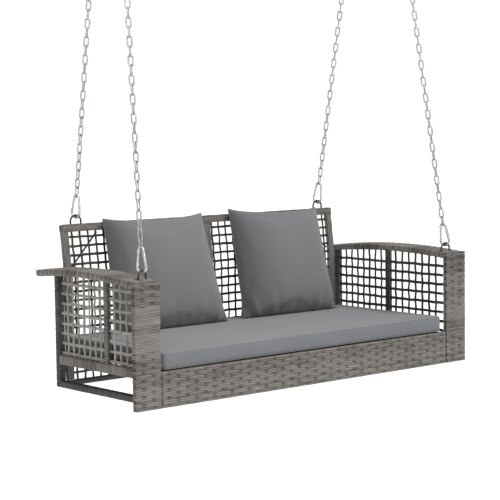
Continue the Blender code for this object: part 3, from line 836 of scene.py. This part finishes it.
def add_snap_hook(name, eye_top, ring_centre, material):
    """The hook's bent body, its gate and the pin. Returns its top point and the way across its wire."""
    along = (ring_centre - eye_top).normalized()
    turned = Matrix.Rotation(HOOK_TURN, 3, "Z") @ Vector((0, 1, 0))
    across = (turned - turned.dot(along) * along).normalized()
    normal = across.cross(along)
    wide, narrow = HOOK_WIDE_RADIUS, HOOK_NARROW_RADIUS
    low_centre = eye_top + (wide - EYE_WIRE - HOOK_WIRE - HOOK_GAP) * along
    high_centre = low_centre + HOOK_LENGTH * along
    flare = math.asin((wide - narrow) / HOOK_LENGTH)
    degrees = math.degrees(flare)
    sideways = math.cos(flare) * across + math.sin(flare) * along
    gate_low = low_centre + wide * sideways
    gate_high = high_centre + narrow * sideways
    gate_line = (gate_high - gate_low).normalized()
    side_length = (gate_high - gate_low).length
    nose = gate_low + NOSE_SHARE * side_length * gate_line
    pivot = gate_low + HINGE_SHARE * side_length * gate_line
    body = [pivot + (GATE_RADIUS + STUB_GAP) * gate_line, gate_high]
    body += arc(high_centre, across, along, narrow, degrees, 180 - degrees, HOOK_STEPS["narrow"])[1:]
    body += arc(low_centre, across, along, wide, 180 - degrees, 360 + degrees, HOOK_STEPS["wide"])
    body += [nose]
    zinc = (material, "zinc_steel")
    gate_path = [pivot + GATE_ROOT * gate_line, nose + GATE_TIP_GAP * gate_line]
    pin = [pivot - PIN_REACH * normal, pivot + PIN_REACH * normal]
    gate = f"gate_{name}"
    add_wire(f"snap_hook_{name}_body", body, HOOK_WIRE, normal, *zinc, node=f"snap_hook_{name}")
    add_wire(f"{gate}_bar", gate_path, GATE_RADIUS, normal, *zinc, f"{gate}_body", gate)
    add_wire(f"{gate}_pin", pin, PIN_RADIUS, gate_line, *zinc)
    return high_centre + narrow * along, normal


def add_hanging_gear(steel, zinc, link_zinc):
    """The top rings, and at each corner an eye, a snap hook and a chain."""
    for name, side in SIDES.items():
        ring_centre = Vector((side * RING_CENTRE[0], *RING_CENTRE[1:]))
        path = arc(ring_centre, Vector((0, 1, 0)), Vector((0, 0, 1)), RING_RADIUS, 0, 360, RING_STEPS)[:-1]
        ring = f"top_ring_{name}"
        add_wire(f"{ring}_loop", path, RING_WIRE, (1, 0, 0), zinc, "zinc_steel", node=ring, closed=True)
        front_foot = slab_top(FRONT_EYE[1] - FRONT + EYE_FOOT_BACK) + EYE_LIFT["front"]
        spots = {
            f"front_{name}": (side * FRONT_EYE[0], FRONT_EYE[1], front_foot),
            f"back_{name}": (side * BACK_EYE_X, BACK_MIDDLE, BACK_HEIGHT + EYE_LIFT["back"]),
        }
        for corner, spot in spots.items():
            eye_top = add_eye(corner, *spot, steel)
            hook_top, hook_normal = add_snap_hook(corner, eye_top, ring_centre, zinc)
            add_chain(corner, hook_top, hook_normal, ring_centre, link_zinc)


# ---------------------------------------------------------------- soft goods

# The cushion: cell size, corner radius and swell, how much smaller it starts than its CAD box, how far
# it may reach past that box, and its filling.
CUSHION_CELL = 0.014
CUSHION_CORNER = 0.010
CUSHION_SWELL = 0.005
CUSHION_FLOOR = 0.0006
CUSHION_LAYERS = 4
CUSHION_ALLOWANCE = (0.001, 0.004, 0.005)
CUSHION_DROP = 0.002
CUSHION_REACH = {"front": 0.001, "back": 0.002}
CUSHION_PRESSURE = 4

# The pillows: size, flare towards the bottom, lean, roll and shift from the CAD box, and the gaps at
# which they press on the backrest and the cushion.
PILLOW_WIDTH = {"left": 0.487, "right": 0.470}
PILLOW_HEIGHT = 0.432
PILLOW_THICKNESS = 0.100
PILLOW_FLARE = {"left": 0.060, "right": 0.025}
PILLOW_CELLS = 44
PILLOW_LEAN = math.radians(16)
PILLOW_ROLL = {"left": math.radians(0.3), "right": math.radians(1.9)}
PILLOW_SHIFT = {"left": (-0.006, 0.012, -0.010), "right": (0.0, 0.012, -0.010)}
PILLOW_GAP = 0.0145
PILLOW_FLOOR_GAP = 0.001
# How much the painted shade darkens a pillow's cloth.
PILLOW_SHADE = 0.50
PILLOW_PRESSURE = 3
PILLOW_SWELL = 0.010

# How sharply cloth bends away from what it presses on, the seams' cord, and how long cloth settles.
PRESS_SOFTNESS = 0.0015
SEAM_RADIUS = 0.0008
SIM_FRAMES = 20

# A pillow's form: how much fuller it is low down, and how far its sides, top and bottom draw in.
PILLOW_SAG = 0.10
PILLOW_WAIST = 0.030
PILLOW_DRAW = {"top": 0.05, "bottom": 0.01}

# Folds up from a pillow's lower edge: waves across it, depth, and how far up and in they reach.
FOLD_WAVES = ((7, 1.0), (12, 0.6))
FOLD_FAN = 0.8
FOLD_TWIST = 3
FOLD_DEPTH = 0.0036
FOLD_RISE = 0.20
FOLD_MIDDLE = 0.35
FOLD_CORNER = 2.2
FOLD_EDGE = 0.010

# Painted shade on a pillow's cloth: darker beside one edge, above the lower edge, and on the front only.
DARK_SIDE = 0.24
DARK_SIDE_POWER = 1.6
DARK_FOOT = 0.14
DARK_FOOT_SHARE = 0.95
DARK_FRONT = 0.02

# Cloth that gives little, so that it swells without creases.
CLOTH = {
    "quality": 6,
    "mass": 0.3,
    "tension_stiffness": 15,
    "compression_stiffness": 15,
    "shear_stiffness": 5,
    "bending_stiffness": 0.5,
    "use_pressure": True,
}


def settled(obj, pressure, cap):
    """Inflates a closed cloth mesh, moves no point further than cap, and leaves no Cloth on it."""
    scene = bpy.context.scene
    cloth = obj.modifiers.new("cloth", "CLOTH")
    for name, value in CLOTH.items():
        setattr(cloth.settings, name, value)
    cloth.settings.uniform_pressure_force = pressure
    cloth.settings.effector_weights.gravity = 0
    cloth.point_cache.frame_start = 1
    cloth.point_cache.frame_end = SIM_FRAMES
    start = points_of(obj.data)
    for number in range(1, SIM_FRAMES + 1):
        scene.frame_set(number)
    moved = evaluated_points(obj) - start
    length = np.linalg.norm(moved, axis=1)[:, None]
    moved *= np.minimum(1, cap / np.maximum(length, TINY))
    obj.modifiers.remove(cloth)
    scene.frame_set(1)
    set_points(obj.data, start + moved)


def box_shell(size, cells):
    """Points and quads of a box's surface, split into cells."""
    index = {}
    points, quads = [], []

    def vertex(key):
        if key not in index:
            index[key] = len(points)
            points.append([size[a] * (key[a] / cells[a] - 0.5) for a in range(3)])
        return index[key]

    for axis in range(3):
        first, second = (axis + 1) % 3, (axis + 2) % 3
        for end in (0, cells[axis]):
            for i in range(cells[first]):
                for j in range(cells[second]):
                    corners = []
                    for di, dj in ((0, 0), (1, 0), (1, 1), (0, 1)):
                        key = [0, 0, 0]
                        key[axis], key[first], key[second] = end, i + di, j + dj
                        corners.append(vertex(tuple(key)))
                    quads.append(corners if end else corners[::-1])
    return np.array(points), np.array(quads)


def rounded_corners(points, size, radius):
    """Pulls a box's upright corners in to a radius."""
    half = np.array(size[:2]) / 2
    flat = points[:, :2]
    over = np.maximum(np.abs(flat) - (half - radius), 0)
    reach = np.max(over, axis=1)
    length = np.linalg.norm(over, axis=1)
    scale = np.where(length > TINY, reach / np.maximum(length, TINY), 1.0)
    moved = np.sign(flat) * (np.minimum(np.abs(flat), half - radius) + over * scale[:, None])
    return np.column_stack([moved, points[:, 2]])


def soft_object(name, points, quads, cloth):
    mesh = mesh_from_arrays(name, points, quads)
    mesh.materials.append(cloth)
    return new_object(name, mesh)


def finish_soft(obj, node):
    smoother = obj.modifiers.new("smoother", "SUBSURF")
    smoother.levels = 1
    smoother.render_levels = 1
    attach(obj, "swing")
    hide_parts(node)


def evaluated_points(obj):
    """Where an object's own points come to lie once its modifiers have moved or smoothed it."""
    evaluated = obj.evaluated_get(bpy.context.evaluated_depsgraph_get())
    return points_of(evaluated.data)[: len(obj.data.vertices)]


def add_seam(name, path, cloth):
    """The stitched edge of a cover: a thin cord along a closed path."""
    points, quads = cord_arrays(path, SEAM_RADIUS, SEAM_SIDES)
    add_piece(name, mesh_from_arrays(name, points, quads), cloth)


def cord_arrays(path, radius, sides):
    """Points and quads of a closed cord that may bend every way."""
    along = np.roll(path, -1, axis=0) - np.roll(path, 1, axis=0)
    along /= np.linalg.norm(along, axis=1)[:, None]
    outward = path - path.mean(axis=0)
    outward -= (outward * along).sum(axis=1)[:, None] * along
    outward /= np.linalg.norm(outward, axis=1)[:, None]
    points = round_points(path, np.full(len(path), radius), outward, np.cross(along, outward), sides)
    return points, tube_quads(len(path), sides, closed=True)


def add_cushion(cloth, painted_side_shade):
    """The box cushion, with a seam round its top and its bottom edge."""
    low, high = box_in("seat_cushion", UPRIGHT)
    size = (high - low) - np.array(CUSHION_ALLOWANCE)
    cells = (round(size[0] / CUSHION_CELL), round(size[1] / CUSHION_CELL), CUSHION_LAYERS)
    points, quads = box_shell(size, cells)
    edge = edge_loop(cells)
    tops = nearest_points(points, edge * size)
    bottoms = nearest_points(points, edge * size * np.array([1, 1, -1]))
    points = rounded_corners(points, size, CUSHION_CORNER)
    obj = soft_object("seat_cushion_cover", points, quads, cloth)
    settled(obj, CUSHION_PRESSURE, CUSHION_SWELL)
    shape = points_of(obj.data) + (low + high) / 2 - np.array([0, 0, CUSHION_DROP])
    shape[:, 2] = np.clip(shape[:, 2], low[2] + CUSHION_FLOOR, high[2])
    shape[:, 1] = np.clip(shape[:, 1], low[1] - CUSHION_REACH["front"], high[1] - CUSHION_REACH["back"])
    set_points(obj.data, shape)
    # Painted shade: the upright sides take a darker copy of the cloth.
    shade_sides(obj.data, painted_side_shade)
    finish_soft(obj, "seat_cushion")
    for place, loop in (("top", tops), ("bottom", bottoms)):
        add_seam(f"seat_cushion_seam_{place}", evaluated_points(obj)[loop], cloth)


def shade_sides(mesh, painted_side_shade):
    """Gives the cushion's upright faces a darker copy of its cloth, as painted shade on its sides."""
    mesh.materials.append(painted_side_shade)
    for face in mesh.polygons:
        if abs(face.normal.z) < 0.5:
            face.material_index = 1


def edge_loop(cells):
    """Places round the top edge of a unit box split into cells, one by one."""
    across, back = cells[0], cells[1]
    spots = [(i / across, 0) for i in range(across)] + [(1, i / back) for i in range(back)]
    spots += [(1 - i / across, 1) for i in range(across)] + [(0, 1 - i / back) for i in range(back)]
    return np.array([(x - 0.5, y - 0.5, 0.5) for x, y in spots])


def nearest_points(points, spots):
    """The number of the point that lies at each spot."""
    return np.array([np.argmin(((points - spot) ** 2).sum(axis=1)) for spot in spots])


def pillow_arrays(cells, size, thickness, flare):
    """Two sheets joined along their edges, domed in the middle and drawn in between their corners.

    Also returns the numbers of the points round the rim.
    """
    levels = np.linspace(-1, 1, cells + 1)
    index = -np.ones((2, cells + 1, cells + 1), int)
    points = []
    for side in (0, 1):
        for i, u in enumerate(levels):
            for j, v in enumerate(levels):
                if side and (i in (0, cells) or j in (0, cells)):
                    index[1, i, j] = index[0, i, j]
                    continue
                index[side, i, j] = len(points)
                dome = ((1 - u**2) * (1 - v**2)) ** 0.5 * (1 - PILLOW_SAG * v)
                narrower = 1 - PILLOW_WAIST * (1 - v**2) - flare * v
                shorter = 1 - PILLOW_DRAW["top" if v > 0 else "bottom"] * (1 - u**2)
                y = (2 * side - 1) * thickness / 2 * dome
                points.append((u * narrower * size[0] / 2, y, v * shorter * size[1] / 2))
    quads = []
    for side in (0, 1):
        grid = index[side]
        for i in range(cells):
            for j in range(cells):
                quad = [grid[i, j], grid[i + 1, j], grid[i + 1, j + 1], grid[i, j + 1]]
                quads.append(quad if side == 0 else quad[::-1])
    rim = [index[0, i, 0] for i in range(cells)] + [index[0, cells, j] for j in range(cells)]
    rim += [index[0, cells - i, cells] for i in range(cells)] + [index[0, 0, cells - j] for j in range(cells)]
    return np.array(points), np.array(quads), rim


def pillow_folds(shape, width, seed):
    """Soft gathers that fan up from the pillow's lower edge, deepest towards its corners."""
    phases = np.random.default_rng(RANDOM_SEED + seed).uniform(0, 2 * math.pi, 2)
    across = shape[:, 0] / width
    rise = (shape[:, 2] - shape[:, 2].min()) / width
    fan = across * (1 - FOLD_FAN * rise)
    twists = (FOLD_TWIST * rise, 0)
    wave = 0
    for (count, share), phase, twist in zip(FOLD_WAVES, phases, twists):
        wave = wave + share * np.sin(2 * math.pi * count * fan + phase + twist)
    depth = FOLD_DEPTH * np.exp(-((rise / FOLD_RISE) ** 2)) * (FOLD_MIDDLE + FOLD_CORNER * np.abs(across))
    inside = np.clip(np.abs(shape[:, 1]) / FOLD_EDGE, 0, 1)
    return wave * depth * inside


def mark_pillow_painted_shade(mesh, shape, width):
    """Marks painted shade on the front's cloth along its lower edge and its side towards -X, which shows
    darker.
    """
    from_side = np.maximum(shape[:, 0] / width + 0.5, 0)
    from_floor = (shape[:, 2] - shape[:, 2].min()) / PILLOW_HEIGHT
    beside = np.exp(-((from_side / DARK_SIDE) ** DARK_SIDE_POWER))
    below = DARK_FOOT_SHARE * np.exp(-((from_floor / DARK_FOOT) ** 2))
    pillow_painted_shade = np.maximum(beside, below) * np.clip(0.5 - shape[:, 1] / DARK_FRONT, 0, 1)
    mark_points(mesh, "pillow_painted_shade", pillow_painted_shade)


def add_pillow(name, cloth):
    """A knife-edge pillow that rests on the cushion and leans on the backrest."""
    node = f"pillow_{name}"
    low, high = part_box(node)
    width = PILLOW_WIDTH[name]
    size = (width, PILLOW_HEIGHT)
    points, quads, rim = pillow_arrays(PILLOW_CELLS, size, PILLOW_THICKNESS, PILLOW_FLARE[name])
    obj = soft_object(f"{node}_cover", points, quads, cloth)
    settled(obj, PILLOW_PRESSURE, PILLOW_SWELL)
    shape = points_of(obj.data)
    # Painted shade on the front, along one side and the lower edge.
    mark_pillow_painted_shade(obj.data, shape, width)
    shape[:, 1] -= pillow_folds(shape, width, seed_of(node))
    turn = Matrix.Rotation(-PILLOW_LEAN, 3, "X") @ Matrix.Rotation(PILLOW_ROLL[name], 3, "Y")
    middle = (np.array(low) + np.array(high)) / 2 + PILLOW_SHIFT[name]
    shape = shape @ np.array(turn).T + middle
    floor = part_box("seat_cushion")[1][2] + PILLOW_FLOOR_GAP
    shape[:, 2] = floor + softly_above(shape[:, 2] - floor)
    wall = back_y(shape[:, 2]) - PILLOW_GAP
    shape[:, 1] = wall - softly_above(wall - shape[:, 1])
    set_points(obj.data, shape)
    finish_soft(obj, node)
    add_seam(f"{node}_seam", evaluated_points(obj)[rim], cloth)


def softly_above(distance):
    """Keeps distances above zero, and presses those below it together in a thin layer."""
    return PRESS_SOFTNESS * np.logaddexp(0, distance / PRESS_SOFTNESS)


# ---------------------------------------------------------------- materials

# Octaves of the noise where more than the usual two are wanted.
MORE_DETAIL = 3.0

# Strips: how much each source adds to the tone, how the sum is spread, and how fine each pattern is.
TONE_SHARES = {"own": 0.26, "batch": 0.24, "mottle": 0.62, "streaks": 0.42, "patches": 0.30}
TONE_SPREAD = 1.35
TONE_SHIFT = -0.74
BATCH_SIZE = 13.0
PATCH_SCALE = 9.0
MOTTLE_RATE = (14.0, 5.3)
STREAK_RATE = (30.0, 5.0)
STRIP_RIBS = 4
RIB_SHARE = 0.25
STRIP_ROUGHNESS = (0.42, 0.66)
STRIP_BUMP = (0.0003, 0.7)
# How much the painted shade in grooves and behind stakes darkens the strips.
PAINTED_CAVITY_SHADE_STRENGTH = 0.62

# Tones of the strips, from dark to light.
WICKER_STOPS = (
    (0.00, (0.056, 0.050, 0.045)),
    (0.30, (0.118, 0.107, 0.098)),
    (0.58, (0.194, 0.179, 0.166)),
    (0.78, (0.232, 0.205, 0.186)),
    (1.00, (0.360, 0.343, 0.324)),
)
# A darker copy of the strips' tones, as painted shade: back legs, low rails, seat rails and bars, the deck
# and the middle posts' inner faces.
PAINTED_SHADE_WICKER_STOPS = (
    (0.00, (0.026, 0.024, 0.022)),
    (0.50, (0.056, 0.051, 0.047)),
    (1.00, (0.104, 0.096, 0.088)),
)
# Lit and shaded copies of the strands' tones: painted light on faces that look outwards, painted shade on
# those that look inwards.
PAINTED_SHADE_STRAND_STOPS = (
    (0.00, (0.012, 0.011, 0.010)),
    (0.60, (0.028, 0.024, 0.021)),
    (1.00, (0.060, 0.052, 0.046)),
)
PAINTED_LIGHT_STRAND_STOPS = (
    (0.00, (0.150, 0.140, 0.125)),
    (0.50, (0.260, 0.245, 0.220)),
    (1.00, (0.360, 0.345, 0.315)),
)

# Cloth: colours, thread spacing, the range of tone round a colour, and the sheen of its nap.
CUSHION_COLOUR = (0.196, 0.202, 0.206)
# A darker copy of the cushion's cloth for its upright sides, as painted shade.
PAINTED_SIDE_SHADE_COLOUR = (0.150, 0.153, 0.164)
PILLOW_COLOUR = (0.160, 0.162, 0.170)
THREAD = 0.0011
THREAD_TONES = (0.86, 1.12)
THREAD_RANGE = (0.25, 0.75)
CLOTH_ROUGHNESS = 0.9
SLUB_SCALE = 260.0
CLOUD_SCALE = 7.0
WEAVE_SHARE = 0.10
CLOUD_SHARE = 0.5
SLUB_BUMP = 0.6
CLOTH_BUMP = (0.0003, 0.5)
CLOTH_SURFACE = {"Sheen Weight": 0.25, "Sheen Roughness": 0.5, "Specular IOR Level": 0.25}

# Metals: dark and light tone, metallic share, and the range of roughness.
BLACK_STEEL = ((0.012, 0.012, 0.013), (0.030, 0.030, 0.032), 0.0, (0.32, 0.5))
BRIGHT_ZINC = ((0.46, 0.47, 0.48), (0.72, 0.73, 0.74), 1.0, (0.30, 0.46))
LINK_ZINC = ((0.32, 0.33, 0.34), (0.58, 0.59, 0.60), 1.0, (0.30, 0.46))
BLOTCH_SCALE = 90.0
BLOTCH_RANGE = (0.3, 0.7)
SCUFF_SCALE = 900.0
METAL_BUMP = (0.0001, 0.5)


class Shader:
    """A material's node tree, with short ways to add and join nodes."""

    def __init__(self, name, roughness=0.5, metallic=0.0):
        self.material = bpy.data.materials.new(name)
        self.material.use_nodes = True
        self.tree = self.material.node_tree
        self.surface = self.tree.nodes["Principled BSDF"]
        self.surface.inputs["Roughness"].default_value = roughness
        self.surface.inputs["Metallic"].default_value = metallic

    def node(self, kind, **settings):
        made = self.tree.nodes.new(kind)
        for key, value in settings.items():
            setattr(made, key, value)
        return made

    def join(self, source, target):
        self.tree.links.new(source, target)

    def fill(self, socket, value):
        if isinstance(value, bpy.types.NodeSocket):
            self.join(value, socket)
        else:
            socket.default_value = value

    def math(self, operation, first, second=0.0, third=0.0):
        made = self.node("ShaderNodeMath", operation=operation)
        for socket, value in zip(made.inputs, (first, second, third)):
            self.fill(socket, value)
        return made.outputs[0]

    def split(self, vector):
        made = self.node("ShaderNodeSeparateXYZ")
        self.join(vector, made.inputs[0])
        return made.outputs

    def combine(self, x=0.0, y=0.0, z=0.0):
        made = self.node("ShaderNodeCombineXYZ")
        for socket, value in zip(made.inputs, (x, y, z)):
            self.fill(socket, value)
        return made.outputs[0]

    def noise(self, vector, scale, detail=2.0):
        made = self.node("ShaderNodeTexNoise")
        self.join(vector, made.inputs["Vector"])
        made.inputs["Scale"].default_value = scale
        made.inputs["Detail"].default_value = detail
        return made.outputs["Fac"]

    def random(self, number):
        made = self.node("ShaderNodeTexWhiteNoise", noise_dimensions="1D")
        self.join(number, made.inputs["W"])
        return made.outputs["Value"]

    def ramp(self, value, stops):
        stops = list(stops)
        made = self.node("ShaderNodeValToRGB")
        self.join(value, made.inputs[0])
        elements = made.color_ramp.elements
        while len(elements) < len(stops):
            elements.new(0.5)
        for element, (position, colour) in zip(elements, stops):
            element.position = position
            element.color = (*colour, 1.0)
        return made.outputs[0]

    def darken(self, colour, amount, strength):
        """The colour times one less strength where amount is one."""
        made = self.node("ShaderNodeMix", data_type="RGBA", blend_type="MULTIPLY")
        self.fill(made.inputs["Factor"], amount)
        self.join(colour, made.inputs["A"])
        made.inputs["B"].default_value = (1 - strength, 1 - strength, 1 - strength, 1.0)
        return made.outputs["Result"]

    def roughen(self, value, low, high):
        """Roughness between low and high, as the value goes from zero to one."""
        made = self.node("ShaderNodeMapRange")
        self.join(value, made.inputs["Value"])
        made.inputs["To Min"].default_value = low
        made.inputs["To Max"].default_value = high
        self.join(made.outputs[0], self.surface.inputs["Roughness"])

    def bump(self, height, distance, strength):
        made = self.node("ShaderNodeBump")
        self.join(height, made.inputs["Height"])
        made.inputs["Distance"].default_value = distance
        made.inputs["Strength"].default_value = strength
        self.join(made.outputs[0], self.surface.inputs["Normal"])


def wicker_material(name, stops):
    """Resin strips: each strip has its own tone, with streaks and fine ribs along it, and painted shade in
    grooves and behind stakes.
    """
    shader = Shader(name)
    uv = shader.node("ShaderNodeUVMap", uv_map="strips")
    along, across = shader.split(uv.outputs[0])[:2]
    strip = shader.math("FLOOR", across)
    place = shader.node("ShaderNodeNewGeometry").outputs["Position"]
    mottle_place = [shader.math("MULTIPLY", axis, rate) for axis, rate in zip((along, strip), MOTTLE_RATE)]
    streak_place = [shader.math("MULTIPLY", axis, rate) for axis, rate in zip((along, across), STREAK_RATE)]
    sources = {
        "own": shader.random(strip),
        "batch": shader.random(shader.math("FLOOR", shader.math("DIVIDE", across, BATCH_SIZE))),
        "mottle": shader.noise(shader.combine(*mottle_place), 1.0),
        "streaks": shader.noise(shader.combine(*streak_place), 1.0, MORE_DETAIL),
        "patches": shader.noise(place, PATCH_SCALE),
    }
    tone = 0.0
    for source, share in TONE_SHARES.items():
        tone = shader.math("MULTIPLY_ADD", sources[source], share, tone)
    tone = shader.math("MULTIPLY_ADD", tone, TONE_SPREAD, TONE_SHIFT)
    # Painted shade: darker in the strips' grooves and where they sink behind a stake.
    painted_cavity_shade = shader.node("ShaderNodeAttribute", attribute_name="painted_cavity_shade")
    colour = shader.darken(shader.ramp(tone, stops), painted_cavity_shade.outputs["Fac"], PAINTED_CAVITY_SHADE_STRENGTH)
    shader.join(colour, shader.surface.inputs["Base Color"])
    shader.roughen(sources["streaks"], *STRIP_ROUGHNESS)
    ribs = shader.math("SINE", shader.math("MULTIPLY", across, 2 * math.pi * STRIP_RIBS))
    shader.bump(shader.math("MULTIPLY_ADD", ribs, RIB_SHARE, sources["streaks"]), *STRIP_BUMP)
    return shader.material


def cloth_material(name, colour, shade=0.0):
    """Plain-weave cloth: fine crossing threads with slow changes of tone, and a soft sheen."""
    shader = Shader(name, roughness=CLOTH_ROUGHNESS)
    place = shader.node("ShaderNodeTexCoord").outputs["Object"]
    axes = shader.split(place)
    waves = [shader.math("SINE", shader.math("MULTIPLY", axis, math.pi / THREAD)) for axis in axes]
    weave = 0.0
    for first, second in ((0, 1), (1, 2), (2, 0)):
        weave = shader.math("MULTIPLY_ADD", waves[first], waves[second], weave)
    slubs = shader.noise(place, SLUB_SCALE, MORE_DETAIL)
    clouds = shader.noise(place, CLOUD_SCALE, MORE_DETAIL)
    tone = shader.math("MULTIPLY_ADD", weave, WEAVE_SHARE, shader.math("MULTIPLY", slubs, CLOUD_SHARE))
    tone = shader.math("MULTIPLY_ADD", clouds, CLOUD_SHARE, tone)
    tones = [tuple(channel * share for channel in colour) for share in THREAD_TONES]
    shown = shader.ramp(tone, zip(THREAD_RANGE, tones))
    # Painted shade, where the cloth is marked for it.
    if shade:
        pillow_painted_shade = shader.node("ShaderNodeAttribute", attribute_name="pillow_painted_shade")
        shown = shader.darken(shown, pillow_painted_shade.outputs["Fac"], shade)
    shader.join(shown, shader.surface.inputs["Base Color"])
    for socket, value in CLOTH_SURFACE.items():
        shader.surface.inputs[socket].default_value = value
    shader.bump(shader.math("MULTIPLY_ADD", slubs, SLUB_BUMP, weave), *CLOTH_BUMP)
    return shader.material


def metal_material(name, dark, light, metallic, roughness):
    """Plated or coated wire: small changes of tone and gloss, and fine scuffs."""
    shader = Shader(name, metallic=metallic)
    place = shader.node("ShaderNodeTexCoord").outputs["Object"]
    blotches = shader.noise(place, BLOTCH_SCALE, MORE_DETAIL)
    colour = shader.ramp(blotches, zip(BLOTCH_RANGE, (dark, light)))
    shader.join(colour, shader.surface.inputs["Base Color"])
    shader.roughen(blotches, *roughness)
    shader.bump(shader.noise(place, SCUFF_SCALE), *METAL_BUMP)
    return shader.material


def restyle(node, material):
    """A CAD node that stays in view, with a better material."""
    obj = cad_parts[node]
    for place in obj.material_slots:
        place.material = material


# ---------------------------------------------------------------- stage


def add_camera():
    data = bpy.data.cameras.new("camera")
    data.lens = CAMERA_LENS
    data.sensor_width = SENSOR_WIDTH
    camera = new_object("camera", data)
    cos_pitch = math.cos(CAMERA_PITCH)
    sin_yaw, cos_yaw = math.sin(CAMERA_YAW), math.cos(CAMERA_YAW)
    forward = Vector((sin_yaw * cos_pitch, cos_yaw * cos_pitch, math.sin(CAMERA_PITCH)))
    level = Vector((cos_yaw, -sin_yaw, 0))
    raised = level.cross(forward)
    right = math.cos(CAMERA_ROLL) * level + math.sin(CAMERA_ROLL) * raised
    up = -math.sin(CAMERA_ROLL) * level + math.cos(CAMERA_ROLL) * raised
    axes = Matrix((right, up, -forward)).transposed().to_4x4()
    camera.matrix_world = Matrix.Translation(CAMERA_PLACE) @ axes
    bpy.context.scene.camera = camera


def add_light(name, data, towards):
    """A light whose back points the way given, so that it shines the other way."""
    light = new_object(name, data)
    light.rotation_mode = "QUATERNION"
    light.rotation_quaternion = Vector(towards).to_track_quat("Z", "Y")
    return light


def add_sun(name, towards, strength, softness):
    data = bpy.data.lights.new(name, "SUN")
    data.energy = strength
    data.angle = math.radians(softness)
    add_light(name, data, towards)


def add_area(name, place, target, size, power):
    """A square soft box at one place, aimed at another."""
    data = bpy.data.lights.new(name, "AREA")
    data.energy = power
    data.size = size
    light = add_light(name, data, Vector(place) - Vector(target))
    light.location = place


def add_world(fill, shown):
    """A white backdrop that lights the object less than it shows."""
    world = bpy.data.worlds.new("studio")
    bpy.context.scene.world = world
    world.use_nodes = True
    tree = world.node_tree
    background = tree.nodes["Background"]
    background.inputs["Color"].default_value = (1, 1, 1, 1)
    ray = tree.nodes.new("ShaderNodeLightPath")
    strength = tree.nodes.new("ShaderNodeMapRange")
    strength.inputs["To Min"].default_value = fill
    strength.inputs["To Max"].default_value = shown
    tree.links.new(ray.outputs["Is Camera Ray"], strength.inputs["Value"])
    tree.links.new(strength.outputs[0], background.inputs["Strength"])


def add_floor():
    half = FLOOR_SIZE / 2
    mesh = bpy.data.meshes.new("floor")
    corners = [(-half, -half, 0), (half, -half, 0), (half, half, 0), (-half, half, 0)]
    mesh.from_pydata(corners, [], [(0, 1, 2, 3)])
    floor = new_object("floor", mesh)
    floor.location = (0, 0, FLOOR_HEIGHT)
    shader = Shader("floor_paint", roughness=FLOOR_ROUGHNESS)
    shader.surface.inputs["Base Color"].default_value = FLOOR_COLOUR
    shader.surface.inputs["Emission Color"].default_value = (1, 1, 1, 1)
    shader.surface.inputs["Emission Strength"].default_value = FLOOR_GLOW
    mesh.materials.append(shader.material)


def add_stage():
    bpy.context.scene.view_settings.view_transform = "Standard"
    add_camera()
    add_world(**BACKDROP)
    add_sun("key", **KEY_SUN)
    add_area("front_left", **SOFT_BOX)
    add_floor()


def main():
    wicker = wicker_material("woven_resin", WICKER_STOPS)
    # A darker copy of the strips, as painted shade for the parts that lie in shade.
    dark_wicker = wicker_material("woven_resin_painted_shade", PAINTED_SHADE_WICKER_STOPS)
    # Painted shade and painted light: shaded and lit copies for the open panels' inner and outer faces.
    painted_shade_strand = wicker_material("strand_painted_shade_face", PAINTED_SHADE_STRAND_STOPS)
    painted_light_strand = wicker_material("strand_painted_light_face", PAINTED_LIGHT_STRAND_STOPS)
    cushion_cloth = cloth_material("cushion_cloth_weave", CUSHION_COLOUR)
    # The cushion's sides in a darker copy of its cloth, as painted shade.
    painted_side_shade_cloth = cloth_material("cushion_painted_side_shade_weave", PAINTED_SIDE_SHADE_COLOUR)
    pillow_cloth = cloth_material("pillow_cloth_weave", PILLOW_COLOUR, PILLOW_SHADE)
    black_steel = metal_material("black_coated_steel", *BLACK_STEEL)
    zinc_steel = metal_material("bright_zinc", *BRIGHT_ZINC)
    link_steel = metal_material("link_zinc", *LINK_ZINC)

    add_stage()
    add_cushion(cushion_cloth, painted_side_shade_cloth)
    for name in SIDES:
        add_pillow(name, pillow_cloth)
    add_woven_frame(wicker, dark_wicker)
    add_arm_panels((painted_light_strand, painted_shade_strand))
    add_back_panels((painted_light_strand, painted_shade_strand))
    # The deck in the darker copy of the strips, as painted shade.
    add_seat_deck(dark_wicker)
    add_hanging_gear(black_steel, zinc_steel, link_steel)
    for name in SIDES:
        for part in ("back_brace", "back_bracket_high", "back_bracket_low"):
            restyle(f"{part}_{name}", black_steel)
        restyle(f"ceiling_hook_{name}", zinc_steel)


main()
